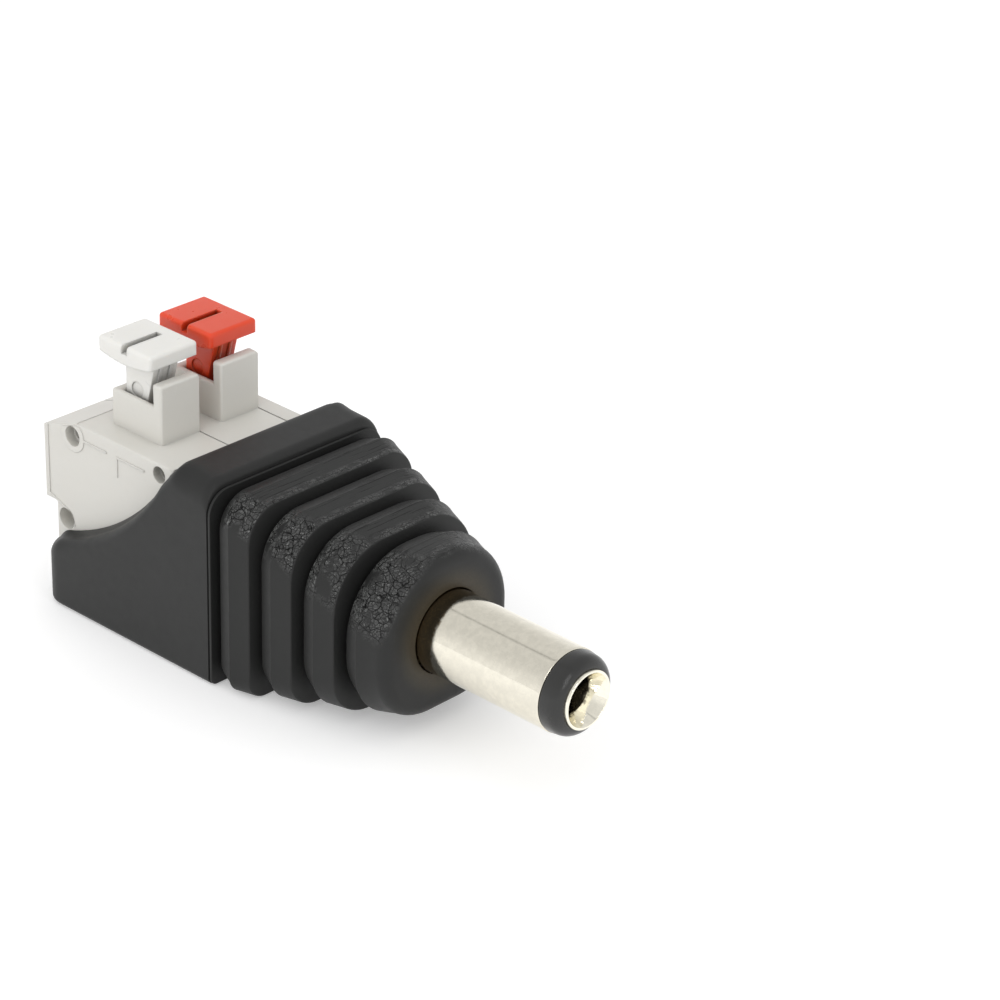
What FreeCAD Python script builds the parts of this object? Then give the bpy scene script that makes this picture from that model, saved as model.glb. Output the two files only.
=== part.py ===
import FreeCAD, Part
import math
import os

# Plug with a barrel contact at one end and a two-pole push-lever terminal block at the other.
# Lengths are in millimetres. x runs from the wire-entry face towards the plug's tip, y = 0 is the plug's
# axis and z = 0 is the surface it rests on. Each piece is moved along x by origin_shift when it is written.

# Terminal block: outline seen from the side
pole_pitch = 5.08
cover_thickness = 1.5
block_side_shift = -0.1
block_length = 12.5
block_floor_z = 3.5
block_height = 9.3
chamfer_drop = 1.1
entry_foot_height = 3.0
entry_foot_recess = 1.1
chamfer_run = 3.25
ridge_width = 0.14
ridge_height = 0.06
ridge_inset = 0.35
ridge_drop = 1.0
ridge_run = 2.65
ridge_hook = 1.4
seam_width = 0.12
seam_depth = 0.15
cover_rim = 0.28
cut_margin = 1.0

# Terminal block: walls and wire entry
side_wall = 0.9
entry_wall = 3.2
end_wall = 0.9
cavity_floor = 0.8
roof_thickness = 1.7
wire_hole_side_offset = 2.31
wire_hole_mouth_r = 1.82
wire_hole_r = 1.2
wire_hole_mouth_depth = 0.6
wire_hole_cone_depth = 1.1

# Collar that guides a lever
collar_x = 4.7
collar_length = 4.8
collar_width = 3.2
collar_height = 2.5
collar_side_wall = 0.45
collar_entry_wall = 0.7
guard_height = 4.1
guard_thickness = 0.85

# Lever
lever_side_offset = 3.39
cap_x = 3.95
cap_length = 5.05
cap_width = 4.0
cap_height = 6.1
cap_edge_thickness = 0.95
cap_belly = 0.35
cap_edge_r = 0.25
groove_x = 6.5
groove_width = 0.55
groove_depth = 0.6
groove_end_wall = 1.0
lever_travel = 0.95
guide_clearance = 0.1
stem_length = 2.1
stem_width = 2.0
stem_rake = 0.7
stem_end_gap = 0.15
foot_width = 0.8
foot_gap = 0.02
catch_reach = 0.6
catch_height = 0.65
catch_gap = 0.02
mark_r = 0.55
mark_depth = 0.1
mark_drop = 2.6

# Pegs that hold the shells together
upper_peg_x = 2.9
upper_peg_drop = 1.0
upper_peg_r = 0.475
upper_socket_r = 0.7
upper_boss_r = 1.1
far_peg_inset = 1.25
far_peg_drop = 0.75
far_peg_r = 0.5
far_socket_r = 0.575
lower_peg_inset = 0.9
lower_peg_height = 2.0
lower_peg_r = 0.72
lower_socket_r = 0.75
peg_socket_depth = 0.6
peg_clearance = 0.03

# Clamp spring and current bar
spring_thickness = 0.3
spring_bend_r = 1.4
spring_lower_leg = 5.8
spring_side_gap = 0.1
spring_slope = 31.0
bar_thickness = 0.6
bar_width = 2.58
bar_roof_gap = 0.8
bar_start_x = 4.0
bar_tail = 2.5

# Housing: block part
housing_start_x = 1.3
housing_cover_length = 5.1
housing_side_wall = 1.82
front_taper = 0.2
housing_over_block = 1.28
top_slope = 0.034
top_edge_r = 1.6
bottom_edge_r = 0.45
rear_corner_r = 1.6

# Housing: upper line of the side walls
lip_drop = 0.1
lip_r = 1.45
lip_length = 1.1
saddle_sag = 1.1
saddle_end_drop = 0.2
ridge_setback = 1.6

# Housing: tapered ribs in front of the block part
rib_count = 3
groove_gap = 0.4
rib_pitch = 3.2
rib_length = 2.75
rib_rear_inset = 0.4
rib_rear_drop = 0.4
rib_rear_rise = 0.4
rib_rear_round = 0.3
rib_crest_x = 1.25
rib_crest_inset = 0.1
rib_crest_drop = 0.1
rib_crest_round = 0.1
rib_front_inset = 0.35
rib_front_drop = 0.43
rib_front_round = 0.3
rib_top_drop = 0.38
rib_corner_r = 2.0
rib_low_corner_r = 1.15
rib_width_step = 0.525
rib_top_step = 0.55
rib_bottom_step = 0.35
rib_corner_step = 0.9
rib_groove_depth = 1.1
core_overlap = 0.5
dome_length = 3.4
dome_front_inset = 0.4
dome_front_drop = 0.15
dome_front_rise = 0.1
dome_front_round = 0.4
dome_edge_r = 0.9

# Barrel plug
axis_z = 6.6
barrel_r = 2.75
barrel_wall = 0.3
barrel_root_r = 3.0
barrel_length = 10.0
tip_ring_length = 1.4
tip_ring_r = 2.7
tip_ring_draft = 0.06
tip_ring_round = 0.85
contact_r = 1.3
contact_bore_r = 1.05
contact_flare_r = 1.92
contact_rim = 0.18
contact_bore_floor = 2.0
contact_flare_depth = 1.2
contact_proud = 0.2

# Hidden end of the plug
flange_r = 3.3
flange_length = 0.8
flange_setback = 1.7
lug_thickness = 0.5
lug_width = 2.0
lug_tail = 4.5
washer_thickness = 0.7
washer_r = 2.55
centre_lug_r = 2.2
rivet_r = 0.9
rivet_head_r = 1.3
rivet_head_length = 0.5

# Link wires and inner moulding
wire_r = 0.6
insulation_r = 1.0
bar_overlap = 1.6
lug_overlap = 3.3
strip_length = 2.0
mould_side_wall = 0.63
mould_block_length = 7.1
mould_foot_gap = 0.5
mould_over_bar = 0.8
mould_rear_r = 4.35
mould_over_flange = 0.2

# Derived positions
block_top_z = block_floor_z + block_height
block_width = 2 * pole_pitch + cover_thickness
block_start_y = block_side_shift - block_width / 2
block_end_y = block_start_y + block_width
cover_start_y = block_end_y - cover_thickness
cavity_low_z = block_floor_z + cavity_floor
cavity_high_z = block_top_z - roof_thickness
cavity_end_x = block_length - end_wall
bar_z = cavity_high_z - bar_roof_gap
bar_end_x = block_length + bar_tail
wire_hole_z = bar_z - wire_hole_r
cap_top_z = block_top_z + cap_height
collar_end_x = collar_x + collar_length
guard_top_z = block_top_z + guard_height
pocket_x = collar_x + collar_entry_wall
pocket_length = collar_length - collar_entry_wall - guard_thickness
pocket_width = collar_width - 2 * collar_side_wall
stem_x = pocket_x + guide_clearance
cap_edge_z = cap_top_z - cap_edge_thickness
cap_belly_z = cap_edge_z - cap_belly
housing_front_x = block_length + housing_cover_length
rear_half_width = block_width / 2 + housing_side_wall
front_half_width = rear_half_width - front_taper
front_top_z = block_top_z + housing_over_block
lip_z = block_floor_z - lip_drop
saddle_start_x = housing_start_x + lip_length
ridge_x = block_length + ridge_setback
rib_top_z = front_top_z - rib_top_drop
mould_half_width = block_width / 2 - mould_side_wall
mould_high_z = bar_z + bar_thickness + mould_over_bar
dome_front_x = housing_front_x + groove_gap + rib_count * rib_pitch + dome_length
barrel_end_x = dome_front_x + barrel_length
tip_x = barrel_end_x + tip_ring_length + contact_proud
flange_front_x = dome_front_x - flange_setback
flange_rear_x = flange_front_x - flange_length
insulator_rear_x = flange_rear_x - lug_thickness
washer_rear_x = insulator_rear_x - washer_thickness
centre_lug_rear_x = washer_rear_x - lug_thickness + 0.1
rivet_rear_x = centre_lug_rear_x - rivet_head_length
origin_shift = -tip_x / 2.0


def vector(x, y, z):
    return FreeCAD.Vector(x, y, z)


def box(x0, x1, y0, y1, z0, z1):
    return Part.makeBox(x1 - x0, y1 - y0, z1 - z0, vector(x0, y0, z0))


def rod(x0, x1, y, z, radius):
    return Part.makeCylinder(radius, x1 - x0, vector(x0, y, z), vector(1, 0, 0))


def peg(x, y0, y1, z, radius):
    return Part.makeCylinder(radius, y1 - y0, vector(x, y0, z), vector(0, 1, 0))


def prism(points, y0, y1):
    """Solid with the given side outline (x, z), reaching from y0 to y1."""
    corners = [vector(x, y0, z) for x, z in points]
    face = Part.Face(Part.makePolygon(corners + corners[:1]))
    return face.extrude(vector(0, y1 - y0, 0))


def turned(points):
    """Solid turned about the plug's axis from an outline of (x, radius)."""
    corners = [vector(x, 0, axis_z + radius) for x, radius in points]
    face = Part.Face(Part.makePolygon(corners + corners[:1]))
    return face.revolve(vector(0, 0, axis_z), vector(1, 0, 0), 360)


def fused(shapes):
    """One solid made of several that meet."""
    whole = shapes[0].fuse(shapes[1:])
    return whole.removeSplitter()


def section(x, half_width, low_z, high_z, low_r, high_r):
    """Rounded rectangle across the plug at x."""
    edges = []
    low_y = half_width - low_r
    high_y = half_width - high_r
    low_mid = low_r * (1 - math.sqrt(0.5))
    high_mid = high_r * (1 - math.sqrt(0.5))
    edges.append(Part.makeLine(vector(x, -low_y, low_z), vector(x, low_y, low_z)))
    edges.append(Part.Arc(vector(x, low_y, low_z), vector(x, half_width - low_mid, low_z + low_mid),
                          vector(x, half_width, low_z + low_r)).toShape())
    edges.append(Part.makeLine(vector(x, half_width, low_z + low_r), vector(x, half_width, high_z - high_r)))
    edges.append(Part.Arc(vector(x, half_width, high_z - high_r),
                          vector(x, half_width - high_mid, high_z - high_mid),
                          vector(x, high_y, high_z)).toShape())
    edges.append(Part.makeLine(vector(x, high_y, high_z), vector(x, -high_y, high_z)))
    edges.append(Part.Arc(vector(x, -high_y, high_z), vector(x, high_mid - half_width, high_z - high_mid),
                          vector(x, -half_width, high_z - high_r)).toShape())
    edges.append(Part.makeLine(vector(x, -half_width, high_z - high_r), vector(x, -half_width, low_z + low_r)))
    edges.append(Part.Arc(vector(x, -half_width, low_z + low_r),
                          vector(x, low_mid - half_width, low_z + low_mid),
                          vector(x, -low_y, low_z)).toShape())
    return Part.Wire(edges)


def shell_outline(inset):
    """Side outline of a terminal shell, moved inwards by inset on every side but the far end."""
    floor = block_floor_z + inset
    top = block_top_z - inset
    face = inset
    foot = entry_foot_recess + inset
    foot_top = block_floor_z + entry_foot_height
    face_top = block_top_z - chamfer_drop - 0.7 * inset
    return [(face, foot_top + inset), (face, face_top), (chamfer_run + 0.2 * inset, top), (block_length, top),
            (block_length, floor), (foot, floor), (foot, foot_top + inset)]


def wire_entry(y):
    """Space of a wire hole: round mouth, cone and straight guide."""
    mouth = rod(-1, wire_hole_mouth_depth, y, wire_hole_z, wire_hole_mouth_r)
    cone_end = wire_hole_mouth_depth + wire_hole_cone_depth
    cone = Part.makeCone(wire_hole_mouth_r, wire_hole_r, wire_hole_cone_depth,
                         vector(wire_hole_mouth_depth, y, wire_hole_z), vector(1, 0, 0))
    guide = rod(cone_end, entry_wall + 0.5, y, wire_hole_z, wire_hole_r)
    return [mouth, cone, guide]


def collar(centre_y):
    """Guide walls of a lever, with the taller guard wall on the plug side."""
    low = box(collar_x, collar_end_x, centre_y - collar_width / 2, centre_y + collar_width / 2,
              block_top_z - 0.5, block_top_z + collar_height)
    guard = box(collar_end_x - guard_thickness, collar_end_x, centre_y - collar_width / 2,
                centre_y + collar_width / 2, block_top_z, guard_top_z)
    return [low, guard]


def ribbon(points, width):
    """Outline of a line of the given width through the points, with mitred corners."""
    left = []
    right = []
    for index, (x, z) in enumerate(points):
        before = points[max(index - 1, 0)]
        after = points[min(index + 1, len(points) - 1)]
        start_angle = math.atan2(z - before[1], x - before[0])
        end_angle = math.atan2(after[1] - z, after[0] - x)
        if index == 0:
            start_angle = end_angle
        if index == len(points) - 1:
            end_angle = start_angle
        middle = (start_angle + end_angle) / 2
        reach = width / 2 / math.cos((end_angle - start_angle) / 2)
        left.append((x - reach * math.sin(middle), z + reach * math.cos(middle)))
        right.insert(0, (x + reach * math.sin(middle), z - reach * math.cos(middle)))
    return left + right


def wall_ridges(start_y):
    """Thin raised lines on the -y wall that border its panel, and the ring round the upper peg hole."""
    y0 = start_y - ridge_height
    y1 = start_y + side_wall / 2
    ridges = [prism(ribbon(points, ridge_width), y0, y1) for points in wall_ridge_runs()]
    boss = peg(upper_peg_x, y0, y1, block_top_z - upper_peg_drop, upper_boss_r)
    ridges.append(boss.common(prism(shell_outline(ridge_width), y0, y1)))
    return ridges


def wall_ridge_runs():
    """Corners of the raised lines: round the entry end, and two short runs under the top edge."""
    face_z = block_floor_z + entry_foot_height
    line_z = block_top_z - ridge_drop
    entry_line = [(ridge_inset, line_z), (ridge_inset, face_z + ridge_inset),
                  (entry_foot_recess + 0.85 * ridge_hook, face_z - ridge_inset),
                  (entry_foot_recess + 1.2 * ridge_hook, face_z - 0.9 * ridge_hook)]
    near_line = [(upper_peg_x + 0.9 * upper_boss_r, line_z), (upper_peg_x + 3 * upper_boss_r, line_z)]
    far_x = block_length - far_peg_inset - ridge_hook
    far_line = [(far_x - ridge_run, line_z - ridge_hook), (far_x - ridge_run, line_z), (far_x, line_z)]
    return entry_line, near_line, far_line


def peg_rows():
    """Place and radii of the pegs: x, z, socket radius, peg radius."""
    upper = (upper_peg_x, block_top_z - upper_peg_drop, upper_socket_r, upper_peg_r)
    far = (block_length - far_peg_inset, block_top_z - far_peg_drop, far_socket_r, far_peg_r)
    lower = (entry_foot_recess + lower_peg_inset, block_floor_z + lower_peg_height, lower_socket_r, lower_peg_r)
    return upper, far, lower


def peg_holes(y0, y1):
    """Holes through a wall for the pegs of the shell behind it, wider on the outside."""
    holes = []
    for x, z, socket_r, peg_r in peg_rows():
        holes.append(peg(x, y0 - cut_margin, y1, z, peg_r + peg_clearance))
        holes.append(peg(x, y0 - cut_margin, y0 + peg_socket_depth, z, socket_r))
    return holes


def terminal_shell(start_y, first, last):
    """Shell of one pole: wall on the -y side, hollow with the spring and bar, open on the +y side."""
    end_y = start_y + pole_pitch
    centre_y = start_y + lever_side_offset
    hole_y = start_y + wire_hole_side_offset
    solid = [prism(shell_outline(0), start_y, end_y - seam_width),
             prism(shell_outline(seam_depth), end_y - seam_width, end_y)]
    if first:
        solid = solid + wall_ridges(start_y)
    body = fused(solid + collar(centre_y))
    cavity = box(entry_wall, cavity_end_x, start_y + side_wall, end_y, cavity_low_z, cavity_high_z)
    pocket = box(pocket_x, pocket_x + pocket_length, centre_y - pocket_width / 2,
                 centre_y + pocket_width / 2, block_top_z, block_top_z + collar_height)
    guide = box(pocket_x, stem_x + stem_length + guide_clearance, centre_y - pocket_width / 2,
                centre_y + pocket_width / 2, cavity_high_z, block_top_z)
    bar_slot = box(cavity_end_x, block_length, start_y + side_wall, start_y + side_wall + bar_width,
                   bar_z, bar_z + bar_thickness)
    body = body.cut([cavity, pocket, guide, bar_slot] + wire_entry(hole_y))
    body = body.cut(peg_holes(start_y, start_y + side_wall))
    reach = cover_thickness if last else side_wall - peg_socket_depth
    pegs = []
    for x, z, socket_r, peg_r in peg_rows():
        pegs.append(peg(x, end_y - seam_width - 0.5, end_y + reach, z, peg_r))
    return fused([body] + pegs)


def end_cover():
    """Plate that closes the outer shell, with the holes for its pegs."""
    plate = prism(shell_outline(0), cover_start_y, block_end_y - cover_rim)
    step = prism(shell_outline(cover_rim), block_end_y - cover_rim, block_end_y)
    holes = []
    for x, z, socket_r, peg_r in peg_rows():
        holes.append(peg(x, cover_start_y, block_end_y, z, peg_r + peg_clearance))
    return fused([plate, step]).cut(holes)


def spring_points():
    """Where the upper leg of a clamp spring leaves its bend, and its direction."""
    centre_x = entry_wall + spring_side_gap + spring_bend_r
    centre_z = cavity_low_z + spring_bend_r
    angle = math.radians(spring_slope)
    leave_x = centre_x - spring_bend_r * math.sin(angle)
    leave_z = centre_z + spring_bend_r * math.cos(angle)
    return centre_x, centre_z, angle, leave_x, leave_z


def spring_top(x):
    """Height of the upper leg's top side at x."""
    centre_x, centre_z, angle, leave_x, leave_z = spring_points()
    return leave_z + (x - leave_x) * math.tan(angle)


def clamp_spring(start_y):
    """Bent leaf: lower leg on the shell's floor, bend at the wire entry, upper leg against the bar."""
    centre_x, centre_z, angle, leave_x, leave_z = spring_points()
    y0 = start_y + side_wall + spring_side_gap
    y1 = start_y + pole_pitch - 4 * spring_side_gap
    inner_r = spring_bend_r - spring_thickness
    drum = peg(centre_x, y0, y1, centre_z, spring_bend_r).cut(peg(centre_x, y0, y1, centre_z, inner_r))
    reach = 4 * spring_bend_r
    open_side = [(centre_x, centre_z), (centre_x, centre_z - reach), (centre_x + 2 * reach, centre_z - reach),
                 (centre_x + 2 * reach, centre_z + reach),
                 (centre_x - reach * math.sin(angle), centre_z + reach * math.cos(angle))]
    bend = drum.cut(prism(open_side, y0, y1))
    lower = box(centre_x, centre_x + spring_lower_leg, y0, y1, cavity_low_z, cavity_low_z + spring_thickness)
    run = (bar_z - leave_z) / math.tan(angle) + spring_thickness
    foot_x = leave_x + spring_thickness * math.sin(angle)
    foot_z = leave_z - spring_thickness * math.cos(angle)
    rise = run * math.tan(angle)
    upper = prism([(leave_x, leave_z), (leave_x + run, leave_z + rise), (foot_x + run, foot_z + rise),
                   (foot_x, foot_z)], y0, y1)
    over_bar = box(entry_wall, block_length, y0 - 1, y1 + 1, bar_z, block_top_z)
    return fused([bend, lower, upper.cut(over_bar)])


def current_bar(start_y):
    """Strip under which the wire is clamped, with a tail behind the block."""
    y0 = start_y + side_wall
    return box(bar_start_x, bar_end_x, y0, y0 + bar_width, bar_z, bar_z + bar_thickness)


def lever(start_y):
    """Push lever: cap with a groove, stem in the collar, foot on the clamp spring."""
    centre_y = start_y + lever_side_offset
    cap_end_x = cap_x + cap_length
    y0 = centre_y - cap_width / 2
    y1 = centre_y + cap_width / 2
    belly = Part.Arc(vector(cap_end_x, y0, cap_edge_z), vector(cap_x + cap_length / 2, y0, cap_belly_z),
                     vector(cap_x, y0, cap_edge_z)).toShape()
    rim = Part.makePolygon([vector(cap_x, y0, cap_edge_z), vector(cap_x, y0, cap_top_z),
                            vector(cap_end_x, y0, cap_top_z), vector(cap_end_x, y0, cap_edge_z)])
    cap = Part.Face(Part.Wire(rim.Edges + [belly])).extrude(vector(0, cap_width, 0))
    outer = [edge for edge in cap.Edges if edge.BoundBox.ZMax > cap_edge_z + 0.1]
    cap = cap.makeFillet(cap_edge_r, outer)
    groove = box(groove_x - groove_width / 2, groove_x + groove_width / 2, y0 - 1, y1 - groove_end_wall,
                 cap_top_z - groove_depth, cap_top_z + 1)
    stem_end_x = stem_x + stem_length
    stem_end_z = bar_z + bar_thickness + lever_travel + stem_end_gap
    collar_top = block_top_z + collar_height
    stem = prism([(stem_x, stem_end_z), (stem_x, cap_belly_z + 0.3), (stem_end_x + stem_rake, cap_belly_z + 0.3),
                  (stem_end_x, collar_top), (stem_end_x, stem_end_z)],
                 centre_y - stem_width / 2, centre_y + stem_width / 2)
    foot_y0 = centre_y + stem_width / 2 - foot_width
    foot = prism([(stem_x, spring_top(stem_x) + foot_gap), (stem_x, stem_end_z), (stem_end_x, stem_end_z),
                  (stem_end_x, spring_top(stem_end_x) + foot_gap)], foot_y0, foot_y0 + foot_width)
    catch = prism([(stem_end_x, cavity_high_z - catch_gap), (stem_end_x + catch_reach, cavity_high_z - catch_gap),
                   (stem_end_x + 0.3 * catch_reach, cavity_high_z - catch_height),
                   (stem_end_x, cavity_high_z - catch_height)], foot_y0, foot_y0 + foot_width)
    mark = peg(stem_x + stem_length / 2, centre_y - stem_width / 2, centre_y - stem_width / 2 + mark_depth,
               cap_belly_z - mark_drop + mark_r, mark_r)
    return fused([cap, stem, foot, catch]).cut([groove, mark])


def rib_section(x, index, narrower, lower, higher, rounder):
    """Section of rib number index, reduced by the given amounts and with rounder corners."""
    half_width = front_half_width - index * rib_width_step - narrower
    top = rib_top_z - index * rib_top_step - lower
    bottom = index * rib_bottom_step + higher
    room = 0.95 * min(half_width, (top - bottom) / 2)
    corner = min(rib_corner_r + index * rib_corner_step + rounder, room)
    low_corner = min(rib_low_corner_r + index * rib_corner_step + rounder, room)
    return section(x, half_width, bottom, top, low_corner, corner)


def rib(index, length, front):
    """Rib that rises from its sunk rear edge to the crest and falls to its sharp front edge."""
    x = housing_front_x + groove_gap + index * rib_pitch
    wires = [rib_section(x, index, rib_rear_inset, rib_rear_drop, rib_rear_rise, rib_rear_round),
             rib_section(x + rib_crest_x, index, rib_crest_inset, rib_crest_drop, 0, rib_crest_round),
             rib_section(x + length, index, *front)]
    return Part.makeLoft(wires, True, True)


def rib_core():
    """Tapered core that the grooves between the ribs reach down to."""
    depth = rib_groove_depth
    x0 = housing_front_x - core_overlap
    x1 = housing_front_x + groove_gap + rib_count * rib_pitch + core_overlap
    return Part.makeLoft([rib_section(x0, 0, depth, depth, depth, -depth / 2),
                          rib_section(x1, rib_count, depth, depth, depth, -depth / 2)], True, True)


def dome():
    """Last rib, closed by a flat face around the barrel."""
    solid = rib(rib_count, dome_length, (dome_front_inset, dome_front_drop, dome_front_rise, dome_front_round))
    rounded = [edge for edge in solid.Edges if edge.BoundBox.XMin > dome_front_x - 0.01]
    return solid.makeFillet(dome_edge_r, rounded)


def block_part():
    """Box part of the housing before the terminal seat is cut."""
    rear_top_z = front_top_z + top_slope * (housing_front_x - housing_start_x)
    side = prism([(housing_start_x, 0), (housing_front_x, 0), (housing_front_x, front_top_z),
                  (housing_start_x, rear_top_z)], -rear_half_width, rear_half_width)
    corners = [vector(housing_start_x, -rear_half_width, 0), vector(housing_front_x, -front_half_width, 0),
               vector(housing_front_x, front_half_width, 0), vector(housing_start_x, rear_half_width, 0)]
    plan = Part.Face(Part.makePolygon(corners + corners[:1])).extrude(vector(0, 0, rear_top_z))
    body = side.common(plan)
    posts = [edge for edge in body.Edges if edge.BoundBox.XMax < housing_start_x + 0.01
             and edge.BoundBox.ZLength > 1]
    body = body.makeFillet(rear_corner_r, posts)
    top_edges = [edge for edge in body.Edges if edge.BoundBox.XLength > 4 * rear_corner_r
                 and edge.BoundBox.ZMin > front_top_z - 0.01 and edge.BoundBox.YLength < 1]
    body = body.makeFillet(top_edge_r, top_edges)
    foot_edges = [edge for edge in body.Edges if edge.BoundBox.ZMax < 0.01
                  and edge.BoundBox.XMin < housing_front_x - 0.01]
    return body.makeFillet(bottom_edge_r, foot_edges)


def saddle_cut():
    """Space above the side walls: rounded lip at the rear, hollow curve, straight slope to the ridge."""
    y0 = -rear_half_width - cut_margin
    width = 2 * (rear_half_width + cut_margin)
    ridge_z = front_top_z + top_slope * (housing_front_x - ridge_x)
    saddle_end_x = block_length
    saddle_end_z = block_top_z - saddle_end_drop
    lip_centre_x = housing_start_x + lip_r
    lip_end_z = lip_z + math.sqrt(lip_r ** 2 - (lip_centre_x - saddle_start_x) ** 2)
    turn = math.radians(150)
    lip = Part.Arc(vector(housing_start_x, y0, lip_z),
                   vector(lip_centre_x + lip_r * math.cos(turn), y0, lip_z + lip_r * math.sin(turn)),
                   vector(saddle_start_x, y0, lip_end_z)).toShape()
    run = saddle_end_x - saddle_start_x
    rise = saddle_end_z - lip_end_z
    share = saddle_sag / math.hypot(run, rise)
    mid_x = saddle_start_x + run / 2 + rise * share
    mid_z = lip_end_z + rise / 2 - run * share
    saddle = Part.Arc(vector(saddle_start_x, y0, lip_end_z), vector(mid_x, y0, mid_z),
                      vector(saddle_end_x, y0, saddle_end_z)).toShape()
    over_z = ridge_z + (housing_front_x - ridge_x) * (ridge_z - saddle_end_z) / (ridge_x - saddle_end_x)
    rest = Part.makePolygon([vector(saddle_end_x, y0, saddle_end_z), vector(housing_front_x, y0, over_z),
                             vector(-cut_margin, y0, over_z), vector(-cut_margin, y0, lip_z),
                             vector(housing_start_x, y0, lip_z)])
    face = Part.Face(Part.Wire([lip, saddle] + rest.Edges))
    return face.extrude(vector(0, width, 0))


def housing():
    """Soft outer moulding round the block's foot, the joints and the barrel's root."""
    parts = [block_part().cut(saddle_cut()), rib_core(), dome()]
    for index in range(rib_count):
        parts.append(rib(index, rib_length, (rib_front_inset, rib_front_drop, 0, rib_front_round)))
    body = fused(parts)
    seat = box(-cut_margin, block_length, block_start_y, block_end_y, block_floor_z, front_top_z + cut_margin)
    return body.cut([seat, mould_solid(), barrel_root()])


def barrel_root():
    """Cone at the barrel's root that is held in the housing."""
    return Part.makeCone(barrel_root_r, barrel_r, dome_front_x - flange_front_x,
                         vector(flange_front_x, 0, axis_z), vector(1, 0, 0))


def mould_solid():
    """Outer form of the inner moulding: a block behind the terminals and a cone to the barrel."""
    block_end = block_length + mould_block_length
    block = box(block_length, block_end, -mould_half_width, mould_half_width,
                block_floor_z + mould_foot_gap, mould_high_z)
    cone = Part.makeCone(mould_rear_r, flange_r + mould_over_flange, flange_front_x - block_end + 1,
                         vector(block_end - 1, 0, axis_z), vector(1, 0, 0))
    return fused([block, cone])


def plug_sleeve():
    """Outer contact: tube with a flange held in the housing."""
    tube = rod(dome_front_x, barrel_end_x, 0, axis_z, barrel_r)
    flange = rod(flange_rear_x, flange_front_x, 0, axis_z, flange_r)
    bore = rod(flange_rear_x, barrel_end_x, 0, axis_z, barrel_r - barrel_wall)
    return fused([tube, barrel_root(), flange]).cut(bore)


def plug_insulator():
    """Insulating tube between the contacts, ending in the rounded ring at the tip."""
    tube = rod(insulator_rear_x, barrel_end_x, 0, axis_z, barrel_r - barrel_wall)
    ring = Part.makeCone(tip_ring_r, tip_ring_r - tip_ring_draft, tip_ring_length,
                         vector(barrel_end_x, 0, axis_z), vector(1, 0, 0))
    rim = [edge for edge in ring.Edges if edge.BoundBox.XMin > barrel_end_x + tip_ring_length - 0.01]
    ring = ring.makeFillet(tip_ring_round, rim)
    flare_x = tip_x - contact_flare_depth
    funnel = turned([(insulator_rear_x, 0), (tip_x, 0), (tip_x, contact_flare_r),
                     (tip_x - contact_flare_depth / 3, contact_flare_r), (flare_x, contact_r),
                     (insulator_rear_x, contact_r)])
    return fused([tube, ring]).cut(funnel)


def centre_contact():
    """Inner contact: tube with a flared mouth and a rivet tail."""
    flare_x = tip_x - contact_flare_depth
    bore_x = insulator_rear_x + contact_bore_floor
    mouth_r = contact_flare_r - contact_rim
    return turned([(rivet_rear_x, 0), (rivet_rear_x, rivet_head_r), (centre_lug_rear_x, rivet_head_r),
                   (centre_lug_rear_x, rivet_r), (insulator_rear_x, rivet_r), (insulator_rear_x, contact_r),
                   (flare_x, contact_r), (tip_x - contact_flare_depth / 3, contact_flare_r),
                   (tip_x, contact_flare_r), (tip_x, mouth_r), (tip_x - contact_flare_depth, contact_bore_r),
                   (bore_x, contact_bore_r), (bore_x, 0)])


def lug_tail_box(front_x, y0):
    half = lug_width / 2
    return box(front_x - lug_tail, front_x, y0, y0 + lug_thickness, axis_z - half, axis_z + half)


def sleeve_lug():
    """Washer behind the flange with a tail for the negative wire."""
    washer = rod(insulator_rear_x, flange_rear_x, 0, axis_z, flange_r - 0.1)
    tail = lug_tail_box(flange_rear_x, 0.1 - flange_r)
    hole = rod(insulator_rear_x, flange_rear_x, 0, axis_z, barrel_r - barrel_wall)
    return fused([washer, tail]).cut(hole)


def centre_lug():
    """Washer on the rivet tail with a tail for the positive wire."""
    washer = rod(centre_lug_rear_x, washer_rear_x, 0, axis_z, centre_lug_r)
    tail = lug_tail_box(washer_rear_x, centre_lug_r - lug_thickness)
    hole = rod(centre_lug_rear_x, washer_rear_x, 0, axis_z, rivet_r)
    return fused([washer, tail]).cut(hole)


def rear_washer():
    washer = rod(washer_rear_x, insulator_rear_x, 0, axis_z, washer_r)
    return washer.cut(rod(washer_rear_x, insulator_rear_x, 0, axis_z, rivet_r))


def wire_path(start_y, end_y, bare):
    """Middle line of a link wire, a double bend; bare adds the stripped ends at both joints."""
    start_z = bar_z - wire_r
    turn_x = flange_rear_x - lug_tail - lug_overlap
    run = turn_x - bar_end_x
    side = end_y - start_y
    drop = axis_z - start_z
    shift = math.hypot(side, drop)
    bend_r = (run ** 2 + shift ** 2) / (4 * shift)
    half_angle = math.asin(run / 2 / bend_r) / 2
    bow_x = bend_r * math.sin(half_angle)
    bow = bend_r * (1 - math.cos(half_angle)) / shift
    start = vector(bar_end_x, start_y, start_z)
    middle = vector(bar_end_x + run / 2, start_y + side / 2, start_z + drop / 2)
    end = vector(turn_x, end_y, axis_z)
    first = vector(bar_end_x + bow_x, start_y + side * bow, start_z + drop * bow)
    last = vector(turn_x - bow_x, end_y - side * bow, axis_z - drop * bow)
    edges = [Part.Arc(start, first, middle).toShape(), Part.Arc(middle, last, end).toShape()]
    end_x = turn_x + strip_length
    if bare:
        edges.insert(0, Part.makeLine(vector(bar_end_x - bar_overlap, start_y, start_z), start))
        end_x = end_x + lug_overlap
    edges.append(Part.makeLine(end, vector(end_x, end_y, axis_z)))
    return Part.Wire(edges)


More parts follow.
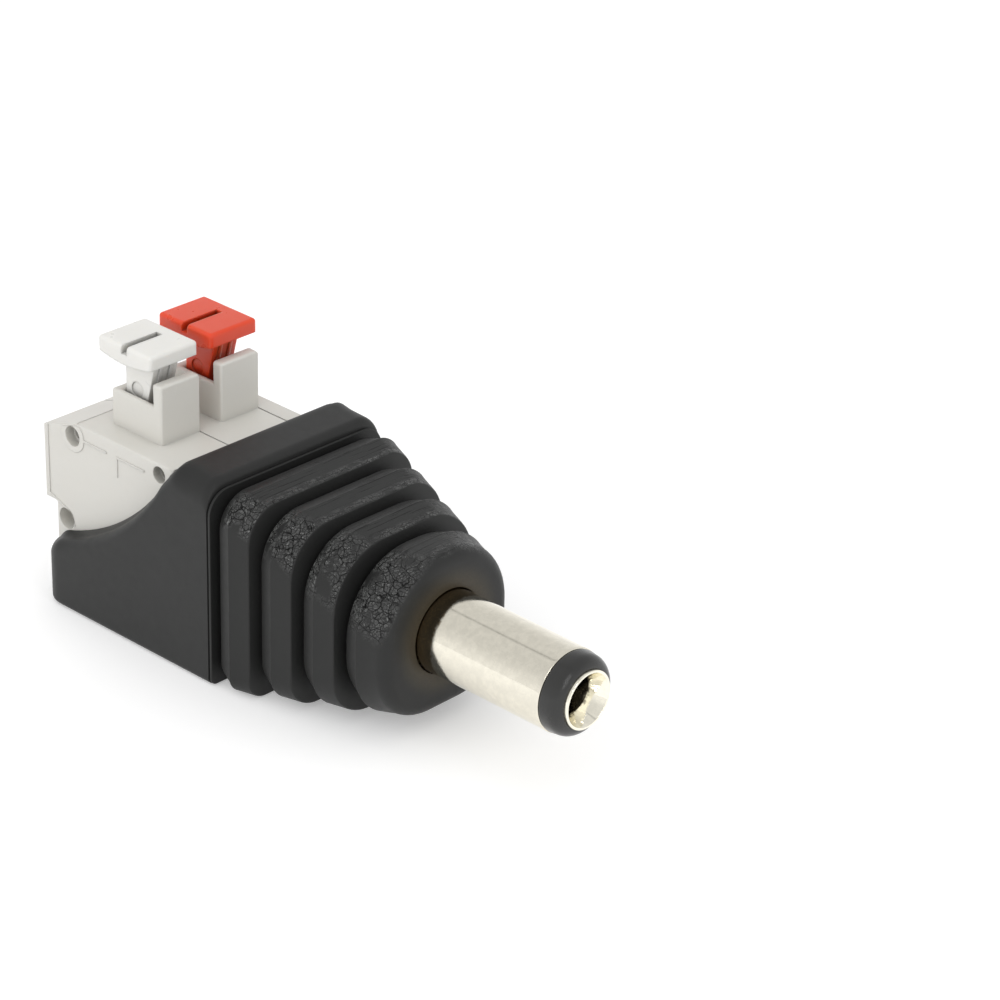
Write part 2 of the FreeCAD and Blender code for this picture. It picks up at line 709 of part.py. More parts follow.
def swept(path, radius):
    """Round wire of the given radius along a path."""
    start = path.OrderedVertexes[0].Point
    return path.makePipe(Part.Face(Part.Wire(Part.makeCircle(radius, start, vector(1, 0, 0)))))


def link_wires():
    """Conductor and insulation of both link wires."""
    shapes = {}
    middle = side_wall + bar_width / 2
    ends = {"negative": lug_thickness + wire_r + 0.1 - flange_r, "positive": centre_lug_r - lug_thickness - wire_r}
    for index, name in enumerate(("negative", "positive")):
        start_y = block_start_y + index * pole_pitch + middle
        conductor = swept(wire_path(start_y, ends[name], True), wire_r)
        cover = swept(wire_path(start_y, ends[name], False), insulation_r)
        shapes["conductor_" + name] = conductor
        shapes["insulation_" + name] = cover.cut(conductor)
    return shapes


def build():
    """All pieces of the object by name."""
    shapes = {}
    shapes["housing"] = housing()
    for index, colour in enumerate(("grey", "red")):
        start_y = block_start_y + index * pole_pitch
        shapes["terminal_module_" + colour] = terminal_shell(start_y, index == 0, index == 1)
        shapes["clamp_spring_" + colour] = clamp_spring(start_y)
        shapes["current_bar_" + colour] = current_bar(start_y)
        shapes["lever_" + colour] = lever(start_y)
    shapes["terminal_end_cover"] = end_cover()
    shapes["plug_sleeve"] = plug_sleeve()
    shapes["plug_insulator"] = plug_insulator()
    shapes["centre_contact"] = centre_contact()
    shapes["sleeve_lug"] = sleeve_lug()
    shapes["centre_lug"] = centre_lug()
    shapes["rear_washer"] = rear_washer()
    shapes.update(link_wires())
    enclosed = ["current_bar_grey", "current_bar_red", "plug_sleeve", "plug_insulator", "centre_contact",
                "sleeve_lug", "centre_lug", "rear_washer", "conductor_negative", "conductor_positive",
                "insulation_negative", "insulation_positive"]
    shapes["inner_mould"] = mould_solid().cut([shapes[name] for name in enclosed])
    return shapes


os.makedirs("parts", exist_ok=True)
for name, shape in build().items():
    shape.translate(vector(origin_shift, 0, 0))
    shape.exportStep("parts/" + name + ".step")
    print(name, len(shape.Solids), shape.isValid(), round(shape.Volume, 3))
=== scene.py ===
import math

import bmesh
import bpy
from mathutils import Matrix, Vector


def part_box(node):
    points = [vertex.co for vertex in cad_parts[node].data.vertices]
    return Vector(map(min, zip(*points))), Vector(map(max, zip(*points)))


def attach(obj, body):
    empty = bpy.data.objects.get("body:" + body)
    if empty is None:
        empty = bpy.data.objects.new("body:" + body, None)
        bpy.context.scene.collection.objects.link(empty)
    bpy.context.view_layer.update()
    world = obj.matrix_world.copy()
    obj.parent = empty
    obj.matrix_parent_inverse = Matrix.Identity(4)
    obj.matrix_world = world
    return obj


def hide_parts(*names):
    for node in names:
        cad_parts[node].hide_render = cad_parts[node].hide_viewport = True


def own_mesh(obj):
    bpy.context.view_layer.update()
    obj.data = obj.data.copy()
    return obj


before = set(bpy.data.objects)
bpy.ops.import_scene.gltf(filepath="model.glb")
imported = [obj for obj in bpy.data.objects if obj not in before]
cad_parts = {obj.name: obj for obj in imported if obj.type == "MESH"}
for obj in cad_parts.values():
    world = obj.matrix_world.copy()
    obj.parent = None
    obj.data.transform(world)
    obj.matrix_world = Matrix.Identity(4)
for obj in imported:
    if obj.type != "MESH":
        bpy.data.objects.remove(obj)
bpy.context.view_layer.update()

bl_info = {
    "name": "Barrel Plug With Lever Terminals",
    "version": (1, 0, 0),
    "blender": (4, 5, 0),
    "location": "3D View > Sidebar > Barrel Plug",
    "description": "Dresses the packed model of a barrel power plug with push-lever terminals",
    "category": "Object",
}

# Lengths along the plug are measured from the wire-entry face, like in the part's own drawing.
entry_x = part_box("terminal_module_grey")[0].x
MM = 0.001
DOUBLES = 1e-7  # points closer than this are one point


# ---- properties

def length(name, description, millimetres):
    """A length that is typed in millimetres and kept in metres."""
    return bpy.props.FloatProperty(name=name, description=description, default=millimetres * MM,
                                   unit="LENGTH", subtype="DISTANCE", precision=6)


def amount(name, description, default):
    return bpy.props.FloatProperty(name=name, description=description, default=default, precision=4)


def count(name, description, default):
    return bpy.props.IntProperty(name=name, description=description, default=default, min=1)


def colour(name, description, default):
    return bpy.props.FloatVectorProperty(name=name, description=description, default=default, size=3,
                                         min=0.0, max=1.0, subtype="COLOR")


class HousingSizes(bpy.types.PropertyGroup):
    """Box part of the housing, with the seat of the terminal block. Distances are from the wire-entry face."""
    rear: length("Rear", "Distance of the rear end", 1.3)
    front: length("Front", "Distance of the box part's front face", 17.6)
    half_width: length("Half Width", "Half width at the rear", 7.65)
    taper: length("Taper", "How much each side narrows towards the front", 0.2)
    top: length("Top", "Height of the top at the front", 14.08)
    top_slope: amount("Top Slope", "Rise of the top towards the rear", 0.034)
    top_edge: length("Top Edge", "Radius of the long top edges", 1.6)
    bottom_edge: length("Bottom Edge", "Radius of the bottom edges", 0.45)
    rear_corner: length("Rear Corner", "Radius of the upright rear corners", 1.6)
    top_front: length("Top Front Edge", "Radius of the top's front edge", 0.55)
    fin: length("Fin", "Length of the thin fin that stands before the front face", 0.27)
    fin_inset: length("Fin Inset", "How far the fin lies inside the walls", 0.03)
    crease: length("Crease", "Depth of the crease between wall and fin", 0.13)
    lip_height: length("Lip Height", "Height at which the lip starts", 3.4)
    lip_radius: length("Lip Radius", "Radius of the lip at the rear", 1.45)
    lip_length: length("Lip Length", "Length of the lip", 1.1)
    saddle_end: length("Saddle End", "Distance at which the hollow line ends", 12.5)
    saddle_top: length("Saddle Top", "Height at which the hollow line ends", 12.6)
    saddle_sag: length("Saddle Sag", "Depth of the hollow line under its chord", 1.1)
    ridge: length("Ridge", "Distance of the ridge", 14.1)
    ridge_round: length("Ridge Round", "How softly the slope turns into the top", 0.16)
    wall_edge: length("Wall Edge", "Radius of the outer edge of the side walls", 0.75)
    wall_fall: length("Wall Fall", "How far the walls' upper side falls outwards", 0.7)
    seat_floor: length("Seat Floor", "Height of the seat under the terminal block", 3.5)
    groove_depth: length("Groove Depth", "Depth of the grooves between the ribs", 1.1)


class RibSizes(bpy.types.PropertyGroup):
    """Ribs and end dome in front of the box part. Each rib's own distances are from its rear edge."""
    count: count("Ribs", "Number of ribs in front of the box part", 3)
    rear: length("First Rib", "Distance of the first rib's rear edge from the wire-entry face", 18.0)
    pitch: length("Pitch", "Distance from rib to rib", 3.2)
    length: length("Rib Length", "Length of one rib", 2.75)
    rear_inset: length("Rear Inset", "How far the rear edge is sunk", 0.4)
    crest: length("Crest", "Distance of the crest, a fine line", 1.25)
    crest_inset: length("Crest Inset", "How far the crest is sunk", 0.1)
    front_inset: length("Front Inset", "How far the front edge is sunk at the sides", 0.35)
    front_drop: length("Front Drop", "How far the front edge is sunk at the top", 0.43)
    bead: length("Bead", "Height of the fine line round each rib", 0.03)
    half_width: length("Half Width", "Half width of the first rib", 7.45)
    top: length("Top", "Top height of the first rib", 13.7)
    corner: length("Corner", "Radius of the first rib's upper corners", 2.0)
    low_corner: length("Low Corner", "Radius of the first rib's lower corners", 1.15)
    width_step: length("Width Step", "How much each rib is narrower on each side", 0.525)
    top_step: length("Top Step", "How much each rib is lower", 0.55)
    bottom_step: length("Bottom Step", "How much each rib's underside is higher", 0.35)
    corner_step: length("Corner Step", "How much each rib's corners are rounder", 0.9)
    corner_points: count("Corner Points", "Points along each rounded corner", 17)
    dome_length: length("Dome Length", "Length of the end dome", 3.4)
    dome_edge: length("Dome Edge", "Radius round the dome's front face", 0.9)


class BarrelSizes(bpy.types.PropertyGroup):
    """Plated sleeve, insulating ring and inner contact. Distances are from the wire-entry face."""
    axis: length("Axis Height", "Height of the barrel's axis", 6.6)
    radius: length("Radius", "Outer radius of the sleeve", 2.75)
    bore: length("Bore", "Inner radius of the sleeve", 2.45)
    root_radius: length("Root Radius", "Radius of the root in the housing", 3.0)
    flange_radius: length("Flange Radius", "Radius of the hidden flange", 3.3)
    start: length("Start", "Distance of the sleeve's visible start", 31.0)
    end: length("End", "Distance of the sleeve's end", 41.0)
    ring_radius: length("Ring Radius", "Outer radius of the insulating ring", 2.7)
    ring_length: length("Ring Length", "Length of the insulating ring", 1.4)
    ring_round: length("Ring Round", "Radius of the ring's front edge", 0.85)
    tip: length("Tip", "Distance of the contact's rim", 42.6)
    flare: length("Flare", "Outer radius of the contact's mouth", 1.92)
    rim: length("Rim", "Wall of the contact at its mouth", 0.18)
    contact: length("Contact", "Outer radius of the contact's tube", 1.3)
    contact_bore: length("Contact Bore", "Inner radius of the contact's tube", 1.05)
    throat: length("Throat", "Inner radius where the contact's flare ends", 1.23)
    segments: count("Segments", "Faces around the barrel", 128)


class EdgeSizes(bpy.types.PropertyGroup):
    """Rounding of the moulded edges of the terminal block."""
    wall: length("Wall Edge", "Rounding between the grey pole's side wall and the roof", 0.16)
    crease: length("Crease", "Distance from the wire-entry face to the fine line on the roof", 3.25)
    crease_width: length("Crease Width", "Width of that line", 0.06)
    collar: length("Collar Edges", "Rounding of the collars' upright and upper edges", 0.2)
    stem_ridge: length("Stem Ridge", "Width of the two ridges on a stem's front side", 0.26)
    stem_ridge_height: length("Stem Ridge Height", "Height of those ridges", 0.1)


class PlugFinish(bpy.types.PropertyGroup):
    """Colours of the object's materials, and of the painted reflections and shade on them."""
    housing: colour("Housing", "Soft black moulding", (0.0195, 0.0198, 0.0193))
    shell: colour("Shells", "Light grey plastic", (0.69, 0.675, 0.63))
    lever_grey: colour("Grey Lever", "Light grey plastic of the lever", (0.80, 0.79, 0.755))
    lever_red: colour("Red Lever", "Red plastic of the lever", (0.74, 0.064, 0.015))
    plating: colour("Plating", "Nickel plating", (0.84, 0.80, 0.69))
    contact: colour("Contact", "Polished plating of the inner contact", (0.97, 0.93, 0.80))
    # painted reflection of the dark housing on the sleeve's root
    root: colour("Root", "Brown stain where the barrel leaves the housing", (0.20, 0.15, 0.085))
    # painted shade deep inside the contact's tube
    bore: colour("Bore", "Dark inside of the contact's tube", (0.022, 0.017, 0.010))
    # brown painted reflection of the barrel on the dome round the barrel's hole
    barrel_reflection: colour("Reflection", "Brown dust round the barrel's hole", (0.08, 0.066, 0.043))
    insulator: colour("Insulator", "Black plastic ring", (0.022, 0.022, 0.021))
    spring: colour("Spring Steel", "Rolled steel", (0.55, 0.55, 0.56))
    tin: colour("Tin", "Tinned copper", (0.68, 0.67, 0.64))
    copper: colour("Copper", "Bare copper", (0.72, 0.36, 0.2))
    sleeving_black: colour("Black Sleeving", "Insulation of the negative wire", (0.03, 0.03, 0.03))
    sleeving_red: colour("Red Sleeving", "Insulation of the positive wire", (0.6, 0.04, 0.03))
    mould: colour("Inner Mould", "Plain inner moulding", (0.5, 0.49, 0.46))


class StudioSettings(bpy.types.PropertyGroup):
    """Camera, floor and lamps."""
    focal_length: bpy.props.FloatProperty(name="Focal Length", description="Focal length of the camera",
                                          default=122.18, min=1.0, unit="CAMERA")
    backdrop: colour("Backdrop", "Colour of the floor and the backdrop", (1.0, 1.0, 1.0))
    sky: amount("Sky", "Brightness of the even light from all round", 0.75)
    key: amount("Key", "Power of the large lamp on the grey lever's side", 0.9)
    top: amount("Top", "Power of the lamp overhead", 0.3)
    strips: amount("Strips", "Power of each of the two narrow lamps in front of the barrel", 0.08)


# ---- mesh helpers

BOX_FACES = [(0, 1, 3, 2), (4, 6, 7, 5), (0, 4, 5, 1), (2, 3, 7, 6), (0, 2, 6, 4), (1, 5, 7, 3)]


def new_object(name, data):
    obj = bpy.data.objects.new(name, data)
    bpy.context.scene.collection.objects.link(obj)
    return obj


def mesh_from(name, vertices, faces):
    """Mesh of the given points and faces, with its faces turned outwards."""
    mesh = bpy.data.meshes.new(name)
    mesh.from_pydata([tuple(v) for v in vertices], [], faces)
    tidy_mesh(mesh)
    return mesh


def tidy_mesh(mesh):
    """Merges doubles, drops faces without area, fills flat ends and turns all faces outwards."""
    bm = bmesh.new()
    bm.from_mesh(mesh)
    bmesh.ops.remove_doubles(bm, verts=bm.verts, dist=DOUBLES)
    bmesh.ops.dissolve_degenerate(bm, edges=bm.edges, dist=DOUBLES)
    open_edges = [edge for edge in bm.edges if edge.is_boundary]
    if open_edges:
        bmesh.ops.holes_fill(bm, edges=open_edges, sides=0)
    bmesh.ops.recalc_face_normals(bm, faces=bm.faces)
    bm.to_mesh(mesh)
    bm.free()
    mesh.update()


def smooth(obj, angle):
    """Smooth shading, with sharp edges where the faces turn by more than the angle, in degrees."""
    obj.data.shade_smooth()
    obj.data.set_sharp_from_angle(angle=math.radians(angle))


def applied(obj):
    """New object of the same name, with the old one's modifiers made part of its mesh."""
    name, old = obj.name, obj.data
    graph = bpy.context.evaluated_depsgraph_get()
    mesh = bpy.data.meshes.new_from_object(obj.evaluated_get(graph), depsgraph=graph)
    bpy.data.objects.remove(obj)
    if old.users == 0:
        bpy.data.meshes.remove(old)
    mesh.name = name
    return new_object(name, mesh)


def even_normals(obj):
    """The object with its large faces shaded flat up to their rounded edges."""
    smooth(obj, 30)
    obj.modifiers.new("normals", "WEIGHTED_NORMAL").keep_sharp = True
    return applied(obj)


def block_mesh(name, low, high):
    """Box between two corners."""
    corners = [(x, y, z) for x in (low[0], high[0]) for y in (low[1], high[1]) for z in (low[2], high[2])]
    return mesh_from(name, corners, BOX_FACES)


def cut_away(obj, cutter_mesh):
    """The object without the room that another closed mesh takes up."""
    cutter = new_object("cutter", cutter_mesh)
    cut = obj.modifiers.new("cut", "BOOLEAN")
    cut.operation = "DIFFERENCE"
    cut.solver = "EXACT"
    cut.object = cutter
    obj = applied(obj)
    bpy.data.objects.remove(cutter)
    return obj


def finish_piece(obj, body, material, node):
    """Gives a piece its material and the body it rides on, and hides the solid whose place it takes."""
    obj.data.materials.clear()
    obj.data.materials.append(material)
    for polygon in obj.data.polygons:
        polygon.material_index = 0
    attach(obj, body)
    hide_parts(node)


def ring_faces(pairs, around):
    """Faces between pairs of rings of points, each ring with the same number of points."""
    return [(a * around + i, a * around + (i + 1) % around, b * around + (i + 1) % around, b * around + i)
            for a, b in pairs for i in range(around)]


def loft(rows):
    """Points and faces of rows of equally many points, closed round, with a flat face at each end."""
    around, last = len(rows[0]), len(rows) - 1
    faces = ring_faces([(r, r + 1) for r in range(last)], around)
    faces += [tuple(range(around)), tuple(last * around + i for i in reversed(range(around)))]
    return [point for row in rows for point in row], faces


def spun(outline, axis_height, segments):
    """Points and faces of a closed outline (x, radius) turned about the barrel's axis."""
    turns = [2 * math.pi * s / segments for s in range(segments)]
    vertices = [(entry_x + x, radius * math.cos(turn), axis_height + radius * math.sin(turn))
                for turn in turns for x, radius in outline]
    return vertices, ring_faces([(s, (s + 1) % segments) for s in range(segments)], len(outline))


def arc_points(centre, radius, start, end, steps):
    """Points (x, radius) along an arc; angles in degrees, 0 along the axis and 90 outwards."""
    turns = [math.radians(start + (end - start) * i / steps) for i in range(steps + 1)]
    return [(centre[0] + radius * math.cos(turn), centre[1] + radius * math.sin(turn)) for turn in turns]


def smooth_step(low, high, value):
    t = min(max((value - low) / (high - low), 0.0), 1.0)
    return t * t * (3 - 2 * t)


# ---- housing: box part

WALL_WIDTH = 1.75 * MM  # from the widest place of a side to where the upper side starts to fall
FALL_WIDTH = 1.3 * MM  # the upper side falls over this width
TOP_POINTS = (0.97, 0.94, 0.91, 0.88, 0.84, 0.78, 0.65, 0.4, 0.15)  # places across half of the top, from its edge
ARC_DEGREES = 9  # step along a rounded edge


def wall_line(sizes, x):
    """Height of the housing's upper line at distance x: lip, hollow saddle, slope and top."""
    saddle_start = sizes.rear + sizes.lip_length
    lip_centre = sizes.rear + sizes.lip_radius
    start_z = sizes.lip_height + math.sqrt(sizes.lip_radius ** 2 - (lip_centre - saddle_start) ** 2)
    if x <= saddle_start:
        return sizes.lip_height + math.sqrt(max(sizes.lip_radius ** 2 - (lip_centre - x) ** 2, 0.0))
    top_z = sizes.top + sizes.top_slope * (sizes.front - x)
    if x <= sizes.saddle_end:
        run = sizes.saddle_end - saddle_start
        rise = sizes.saddle_top - start_z
        chord = math.hypot(run, rise)
        radius = (chord ** 2 / 4 + sizes.saddle_sag ** 2) / (2 * sizes.saddle_sag)
        centre_x = saddle_start + run / 2 - rise / chord * (radius - sizes.saddle_sag)
        centre_z = start_z + rise / 2 + run / chord * (radius - sizes.saddle_sag)
        return centre_z - math.sqrt(radius ** 2 - (x - centre_x) ** 2)
    ridge_z = sizes.top + sizes.top_slope * (sizes.front - sizes.ridge)
    slope = (ridge_z - sizes.saddle_top) / (sizes.ridge - sizes.saddle_end)
    slope_z = sizes.saddle_top + (x - sizes.saddle_end) * slope
    soft = sizes.ridge_round
    return min(slope_z, top_z) - soft * math.log1p(math.exp(-abs(slope_z - top_z) / soft))


def inward(radius, distance):
    """How far a rounded edge lies inside, at this distance from the face that it ends at."""
    if distance >= radius:
        return 0.0
    return radius - math.sqrt(max(radius ** 2 - (radius - distance) ** 2, 0.0))


def box_section(sizes, x, sunk=0.0):
    """Cross-section of the box part at distance x, sunk by an extra amount all round."""
    bottom = sizes.bottom_edge
    half = sizes.half_width - sizes.taper * (x - sizes.rear) / (sizes.front - sizes.rear)
    half -= inward(sizes.rear_corner, x - sizes.rear) + sunk
    side_low = inward(bottom, x - sizes.rear) + sunk + bottom
    top_sunk = sunk + inward(sizes.top_front, max(sizes.front - sizes.fin - x, 0.0))
    at_top = smooth_step(sizes.saddle_end, sizes.ridge + 1.5 * MM, x)
    edge = sizes.wall_edge + (sizes.top_edge - sizes.wall_edge) * at_top
    wall_start = sizes.half_width - WALL_WIDTH

    def top_at(y):
        fall = sizes.wall_fall * smooth_step(0, FALL_WIDTH, abs(y) - wall_start)
        return wall_line(sizes, max(x - fall, sizes.rear)) - top_sunk

    side_top = top_at(half - edge)
    edge_centre = max(side_top - edge, side_low + 0.05 * MM)
    points = []
    for turn in (math.radians(270 + 10 * i) for i in range(10)):
        points.append((half - bottom + bottom * math.cos(turn), side_low + bottom * math.sin(turn)))
    points += [(half, side_low + (edge_centre - side_low) * i / 12) for i in range(1, 12)]
    for turn in (math.radians(ARC_DEGREES * i) for i in range(11)):
        points.append((half - edge + edge * math.cos(turn), edge_centre + (side_top - edge_centre) * math.sin(turn)))
    for part in TOP_POINTS:
        points.append(((half - edge) * part, top_at((half - edge) * part)))
    mirrored = [(-y, z) for y, z in reversed(points)]
    return [(entry_x + x, y, z) for y, z in points + mirrored]


def box_stations(sizes):
    """Distances of the cross-sections and how far each is sunk, closer together where the form turns."""
    rear, front, crease, inset = sizes.rear, sizes.front, sizes.crease, sizes.fin_inset
    hair = 0.03 * MM
    face_x = front - sizes.fin
    fin_start = face_x + 3 * hair
    stations = [(rear + sizes.rear_corner * (1 - math.cos(math.radians(90 * i / 14))), 0.0) for i in range(15)]
    x = stations[-1][0]
    coarse, fine = 0.3 * MM, 0.14 * MM
    while x < face_x - sizes.top_front - coarse:
        x += fine if sizes.saddle_end - coarse < x < sizes.ridge + 1.3 * MM else coarse
        stations.append((x, 0.0))
    stations += [(face_x - sizes.top_front * (1 - math.sin(math.radians(84 * i / 8))), 0.0) for i in range(9)]
    step = 0.02 * MM
    return stations + [(face_x - 0.001 * MM, step), (face_x + step, crease), (fin_start - step, crease),
                       (fin_start, inset + step), (fin_start + hair, inset), (front - hair, inset),
                       (front, inset + hair)]


def box_part(sizes):
    """Box part of the housing with its seat, as a closed mesh."""
    rows = [box_section(sizes, x, sunk) for x, sunk in box_stations(sizes)]
    depth, middle = sizes.groove_depth, sizes.top / 2
    shrink = (middle - depth) / middle
    nose = [(x, math.copysign(max(abs(y) - depth, 0.0), y), middle + (z - middle) * shrink) for x, y, z in rows[-1]]
    rows += [nose, [(x + 0.3 * MM, y, z) for x, y, z in nose]]
    block = new_object("box_part", mesh_from("box_part", *loft(rows)))
    low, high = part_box("terminal_module_grey")[0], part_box("terminal_end_cover")[1]
    seat = block_mesh("seat_space", (entry_x - 1 * MM, low.y, sizes.seat_floor),
                      (entry_x + sizes.saddle_end, high.y, 30 * MM))
    return cut_away(block, seat).data


# ---- trees of nodes

class Value:
    """Output of a node. The signs + - * and / add the node that works out the result."""

    def __init__(self, desk, socket):
        self.desk = desk
        self.socket = socket

    def __add__(self, other):
        return self.desk.math("ADD", self, other)

    def __sub__(self, other):
        return self.desk.math("SUBTRACT", self, other)

    def __rsub__(self, other):
        return self.desk.math("SUBTRACT", other, self)

    def __mul__(self, other):
        return self.desk.math("MULTIPLY", self, other)

    def __truediv__(self, other):
        return self.desk.math("DIVIDE", self, other)


class NodeDesk:
    """Adds and links the nodes of one tree."""

    def __init__(self, tree):
        self.tree = tree

    def add(self, kind, inputs=None, **settings):
        """New node with its settings made and its inputs linked or set."""
        node = self.tree.nodes.new(kind)
        for key, value in settings.items():
            setattr(node, key, value)
        for key, value in (inputs or {}).items():
            self.plug_in(node.inputs[key], value)
        return node

    def result(self, kind, output=0, inputs=None, **settings):
        """One output of a new node."""
        return Value(self, self.add(kind, inputs, **settings).outputs[output])

    def plug_in(self, socket, value):
        """Links a socket to another node's output, or sets its value."""
        if isinstance(value, Value):
            self.tree.links.new(value.socket, socket)
        else:
            socket.default_value = value

    def math(self, operation, first, second=None):
        inputs = {0: first} if second is None else {0: first, 1: second}
        return self.result("ShaderNodeMath", 0, inputs, operation=operation)

    def mix(self, factor, first, second):
        return self.result("ShaderNodeMix", 0, {0: factor, 2: first, 3: second}, data_type="FLOAT")

    def spread(self, value, low, high, start=0.0, end=1.0):
        """Soft step from start to end while a value goes from low to high."""
        inputs = {"Value": value, "From Min": low, "From Max": high, "To Min": start, "To Max": end}
        return self.result("ShaderNodeMapRange", "Result", inputs, interpolation_type="SMOOTHSTEP")

    def split(self, value, kind="XYZ"):
        """The three numbers in coordinates (kind XYZ) or in a colour (kind Color)."""
        node = self.add("ShaderNodeSeparate" + kind, {0: value})
        return [Value(self, output) for output in node.outputs]

    def seen_rays(self):
        """1 for rays that show a surface and 0 for rays that light others; then 1 for mirrored rays."""
        rays = self.add("ShaderNodeLightPath").outputs
        camera, glossy, through = (Value(self, rays["Is %s Ray" % kind])
                                   for kind in ("Camera", "Glossy", "Transmission"))
        return self.math("MAXIMUM", camera, self.math("MAXIMUM", glossy, through)), glossy


# ---- housing: ribs by a tree of nodes

# What each row of a profile holds, in this order. Along is measured from the rib's rear edge, the next four
# sink the sides, the top and the underside and round the corners, circle goes from 0 for a rounded rectangle
# to 1 for a ring about the barrel's axis, and ring is that ring's radius.
PROFILE_VALUES = ("along", "inset", "drop", "rise", "rounder", "circle", "ring")
RIB_VALUES = ("corner_points", "pitch", "half_width", "top", "corner", "low_corner", "width_step", "top_step",
              "bottom_step", "corner_step")
SOCKET_KINDS = {int: "NodeSocketInt", float: "NodeSocketFloat"}
ROUNDEST = 0.97  # largest corner, as a share of the rectangle's smaller half
LONGEST_REACH = 0.45  # largest part of a line that the curve at its end takes up


def rib_tree(inputs):
    """Skin through rounded rectangles: one profile row after another, rib after rib."""
    tree = bpy.data.node_groups.new("rib_skin", "GeometryNodeTree")
    for way in ("INPUT", "OUTPUT"):
        tree.interface.new_socket("Geometry", in_out=way, socket_type="NodeSocketGeometry")
    for name, value in inputs.items():
        kind = SOCKET_KINDS.get(type(value), "NodeSocketMaterial")
        tree.interface.new_socket(name, in_out="INPUT", socket_type=kind)
    desk = NodeDesk(tree)
    sockets = desk.add("NodeGroupInput").outputs
    entry = {name: Value(desk, sockets[name]) for name in ("Geometry", *inputs)}
    profile = entry["Geometry"]
    profile_points = desk.result("GeometryNodeAttributeDomainSize", "Point Count", {"Geometry": profile},
                                 component="MESH")
    corner_points = entry["Corner Points"]
    columns = corner_points * 4 + 1
    grid = desk.result("GeometryNodeMeshGrid", "Mesh",
                       {"Vertices X": profile_points * entry["Ribs"], "Vertices Y": columns})
    index = desk.result("GeometryNodeInputIndex")
    row = desk.math("FLOOR", (index + 0.5) / columns)
    column = index - row * columns
    rib = desk.math("FLOOR", (row + 0.5) / profile_points)
    profile_row = row - rib * profile_points
    number = rib + entry["First Rib"]

    values = {}
    for name in PROFILE_VALUES:
        attribute = desk.result("GeometryNodeInputNamedAttribute", "Attribute", {"Name": name}, data_type="FLOAT")
        sample = {"Geometry": profile, "Value": attribute, "Index": profile_row}
        values[name] = desk.result("GeometryNodeSampleIndex", "Value", sample, data_type="FLOAT", domain="POINT")
    quarter = desk.math("FLOOR", (column + 0.5) / corner_points)
    step = column - quarter * corner_points
    turn = (quarter + step / (corner_points - 1)) * (math.pi / 2)
    middle_turn = (quarter + 0.5) * (math.pi / 2)
    side = desk.math("SIGN", desk.math("COSINE", middle_turn))
    height = desk.math("SIGN", desk.math("SINE", middle_turn))
    cosine = desk.math("COSINE", turn)
    sine = desk.math("SINE", turn)

    half = entry["Half Width"] - (number * entry["Width Step"] + values["inset"])
    top = entry["Top"] - (number * entry["Top Step"] + values["drop"])
    bottom = number * entry["Bottom Step"] + values["rise"]
    half_height = (top - bottom) * 0.5
    start_corner = desk.mix((height + 1.0) * 0.5, entry["Low Corner"], entry["Corner"])
    wanted = start_corner + number * entry["Corner Step"] + values["rounder"]
    corner = desk.math("MINIMUM", wanted, desk.math("MINIMUM", half, half_height) * ROUNDEST)
    flat_y = side * (half - corner) + corner * cosine
    flat_z = bottom + half_height + height * (half_height - corner) + corner * sine
    ring_y = values["ring"] * cosine
    ring_z = entry["Axis Height"] + values["ring"] * sine
    place = desk.result("ShaderNodeCombineXYZ", 0, {
        0: entry["Rear"] + number * entry["Pitch"] + values["along"],
        1: desk.mix(values["circle"], flat_y, ring_y), 2: desk.mix(values["circle"], flat_z, ring_z)})
    skin = desk.result("GeometryNodeSetPosition", 0, {"Geometry": grid, "Position": place})
    skin = desk.result("GeometryNodeMergeByDistance", 0, {"Geometry": skin, "Distance": DOUBLES})
    skin = desk.result("GeometryNodeRealizeInstances", 0, {0: skin})
    skin = desk.result("GeometryNodeSetMaterial", 0, {"Geometry": skin, "Material": entry["Material"]})
    desk.add("NodeGroupOutput", {0: skin})
    return tree


def eased(rows, steps=3):
    """Rows (values, reach) with each corner that has a reach replaced by a small curve."""
    result = []
    for i, (values, reach) in enumerate(rows):
        if not reach:
            result.append(values)
            continue
        start = toward(values, rows[i - 1][0], reach)
        end = toward(values, rows[i + 1][0], reach)
        for s in range(steps + 1):
            t = s / steps
            result.append(tuple((1 - t) ** 2 * a + 2 * t * (1 - t) * b + t * t * c
                                for a, b, c in zip(start, values, end)))
    return result


def toward(corner, other, reach):
    """Point on the line from a corner to its neighbour, at most the reach away."""
    distance = math.hypot(corner[0] - other[0], corner[1] - other[1])
    part = min(reach / distance, LONGEST_REACH)
    return tuple(a + (b - a) * part for a, b in zip(corner, other))


def rear_rows(sizes, depth, start):
    """Rows from inside the groove up the sunk rear band and over the fine line at the crest."""
    rear, top = sizes.rear_inset, sizes.crest_inset
    line = top - sizes.bead
    foot = top + 0.07 * MM * (rear - top) / sizes.crest
    rows = [((x, depth, depth, depth, -depth / 2, 0, 0), reach) for x, reach in ((start, 0), (-0.04 * MM, 0.1 * MM))]
    rows.append(((0, rear, rear, rear, 0.3 * MM, 0, 0), 0.24 * MM))
    # the fine line: up from its foot, along its top and down to the crest
    for offset, inset, rise in ((-0.07, foot, 0.02 * MM), (-0.035, line, 0), (0.01, line, 0), (0.06, top, 0)):
        rows.append(((sizes.crest + offset * MM, inset, inset, rise, 0.1 * MM, 0, 0), 0))
    return rows


def rib_profile(sizes, depth):
    """Rows of one rib, from the middle of the groove behind it to the foot of its front edge."""
    front = (sizes.length, sizes.front_inset, sizes.front_drop, 0, 0.3 * MM, 0, 0)
    foot = (sizes.length + 0.03 * MM, depth, depth, depth, -depth / 2, 0, 0)
    return eased(rear_rows(sizes, depth, -0.3 * MM) + [(front, 0.12 * MM), (foot, 0)])


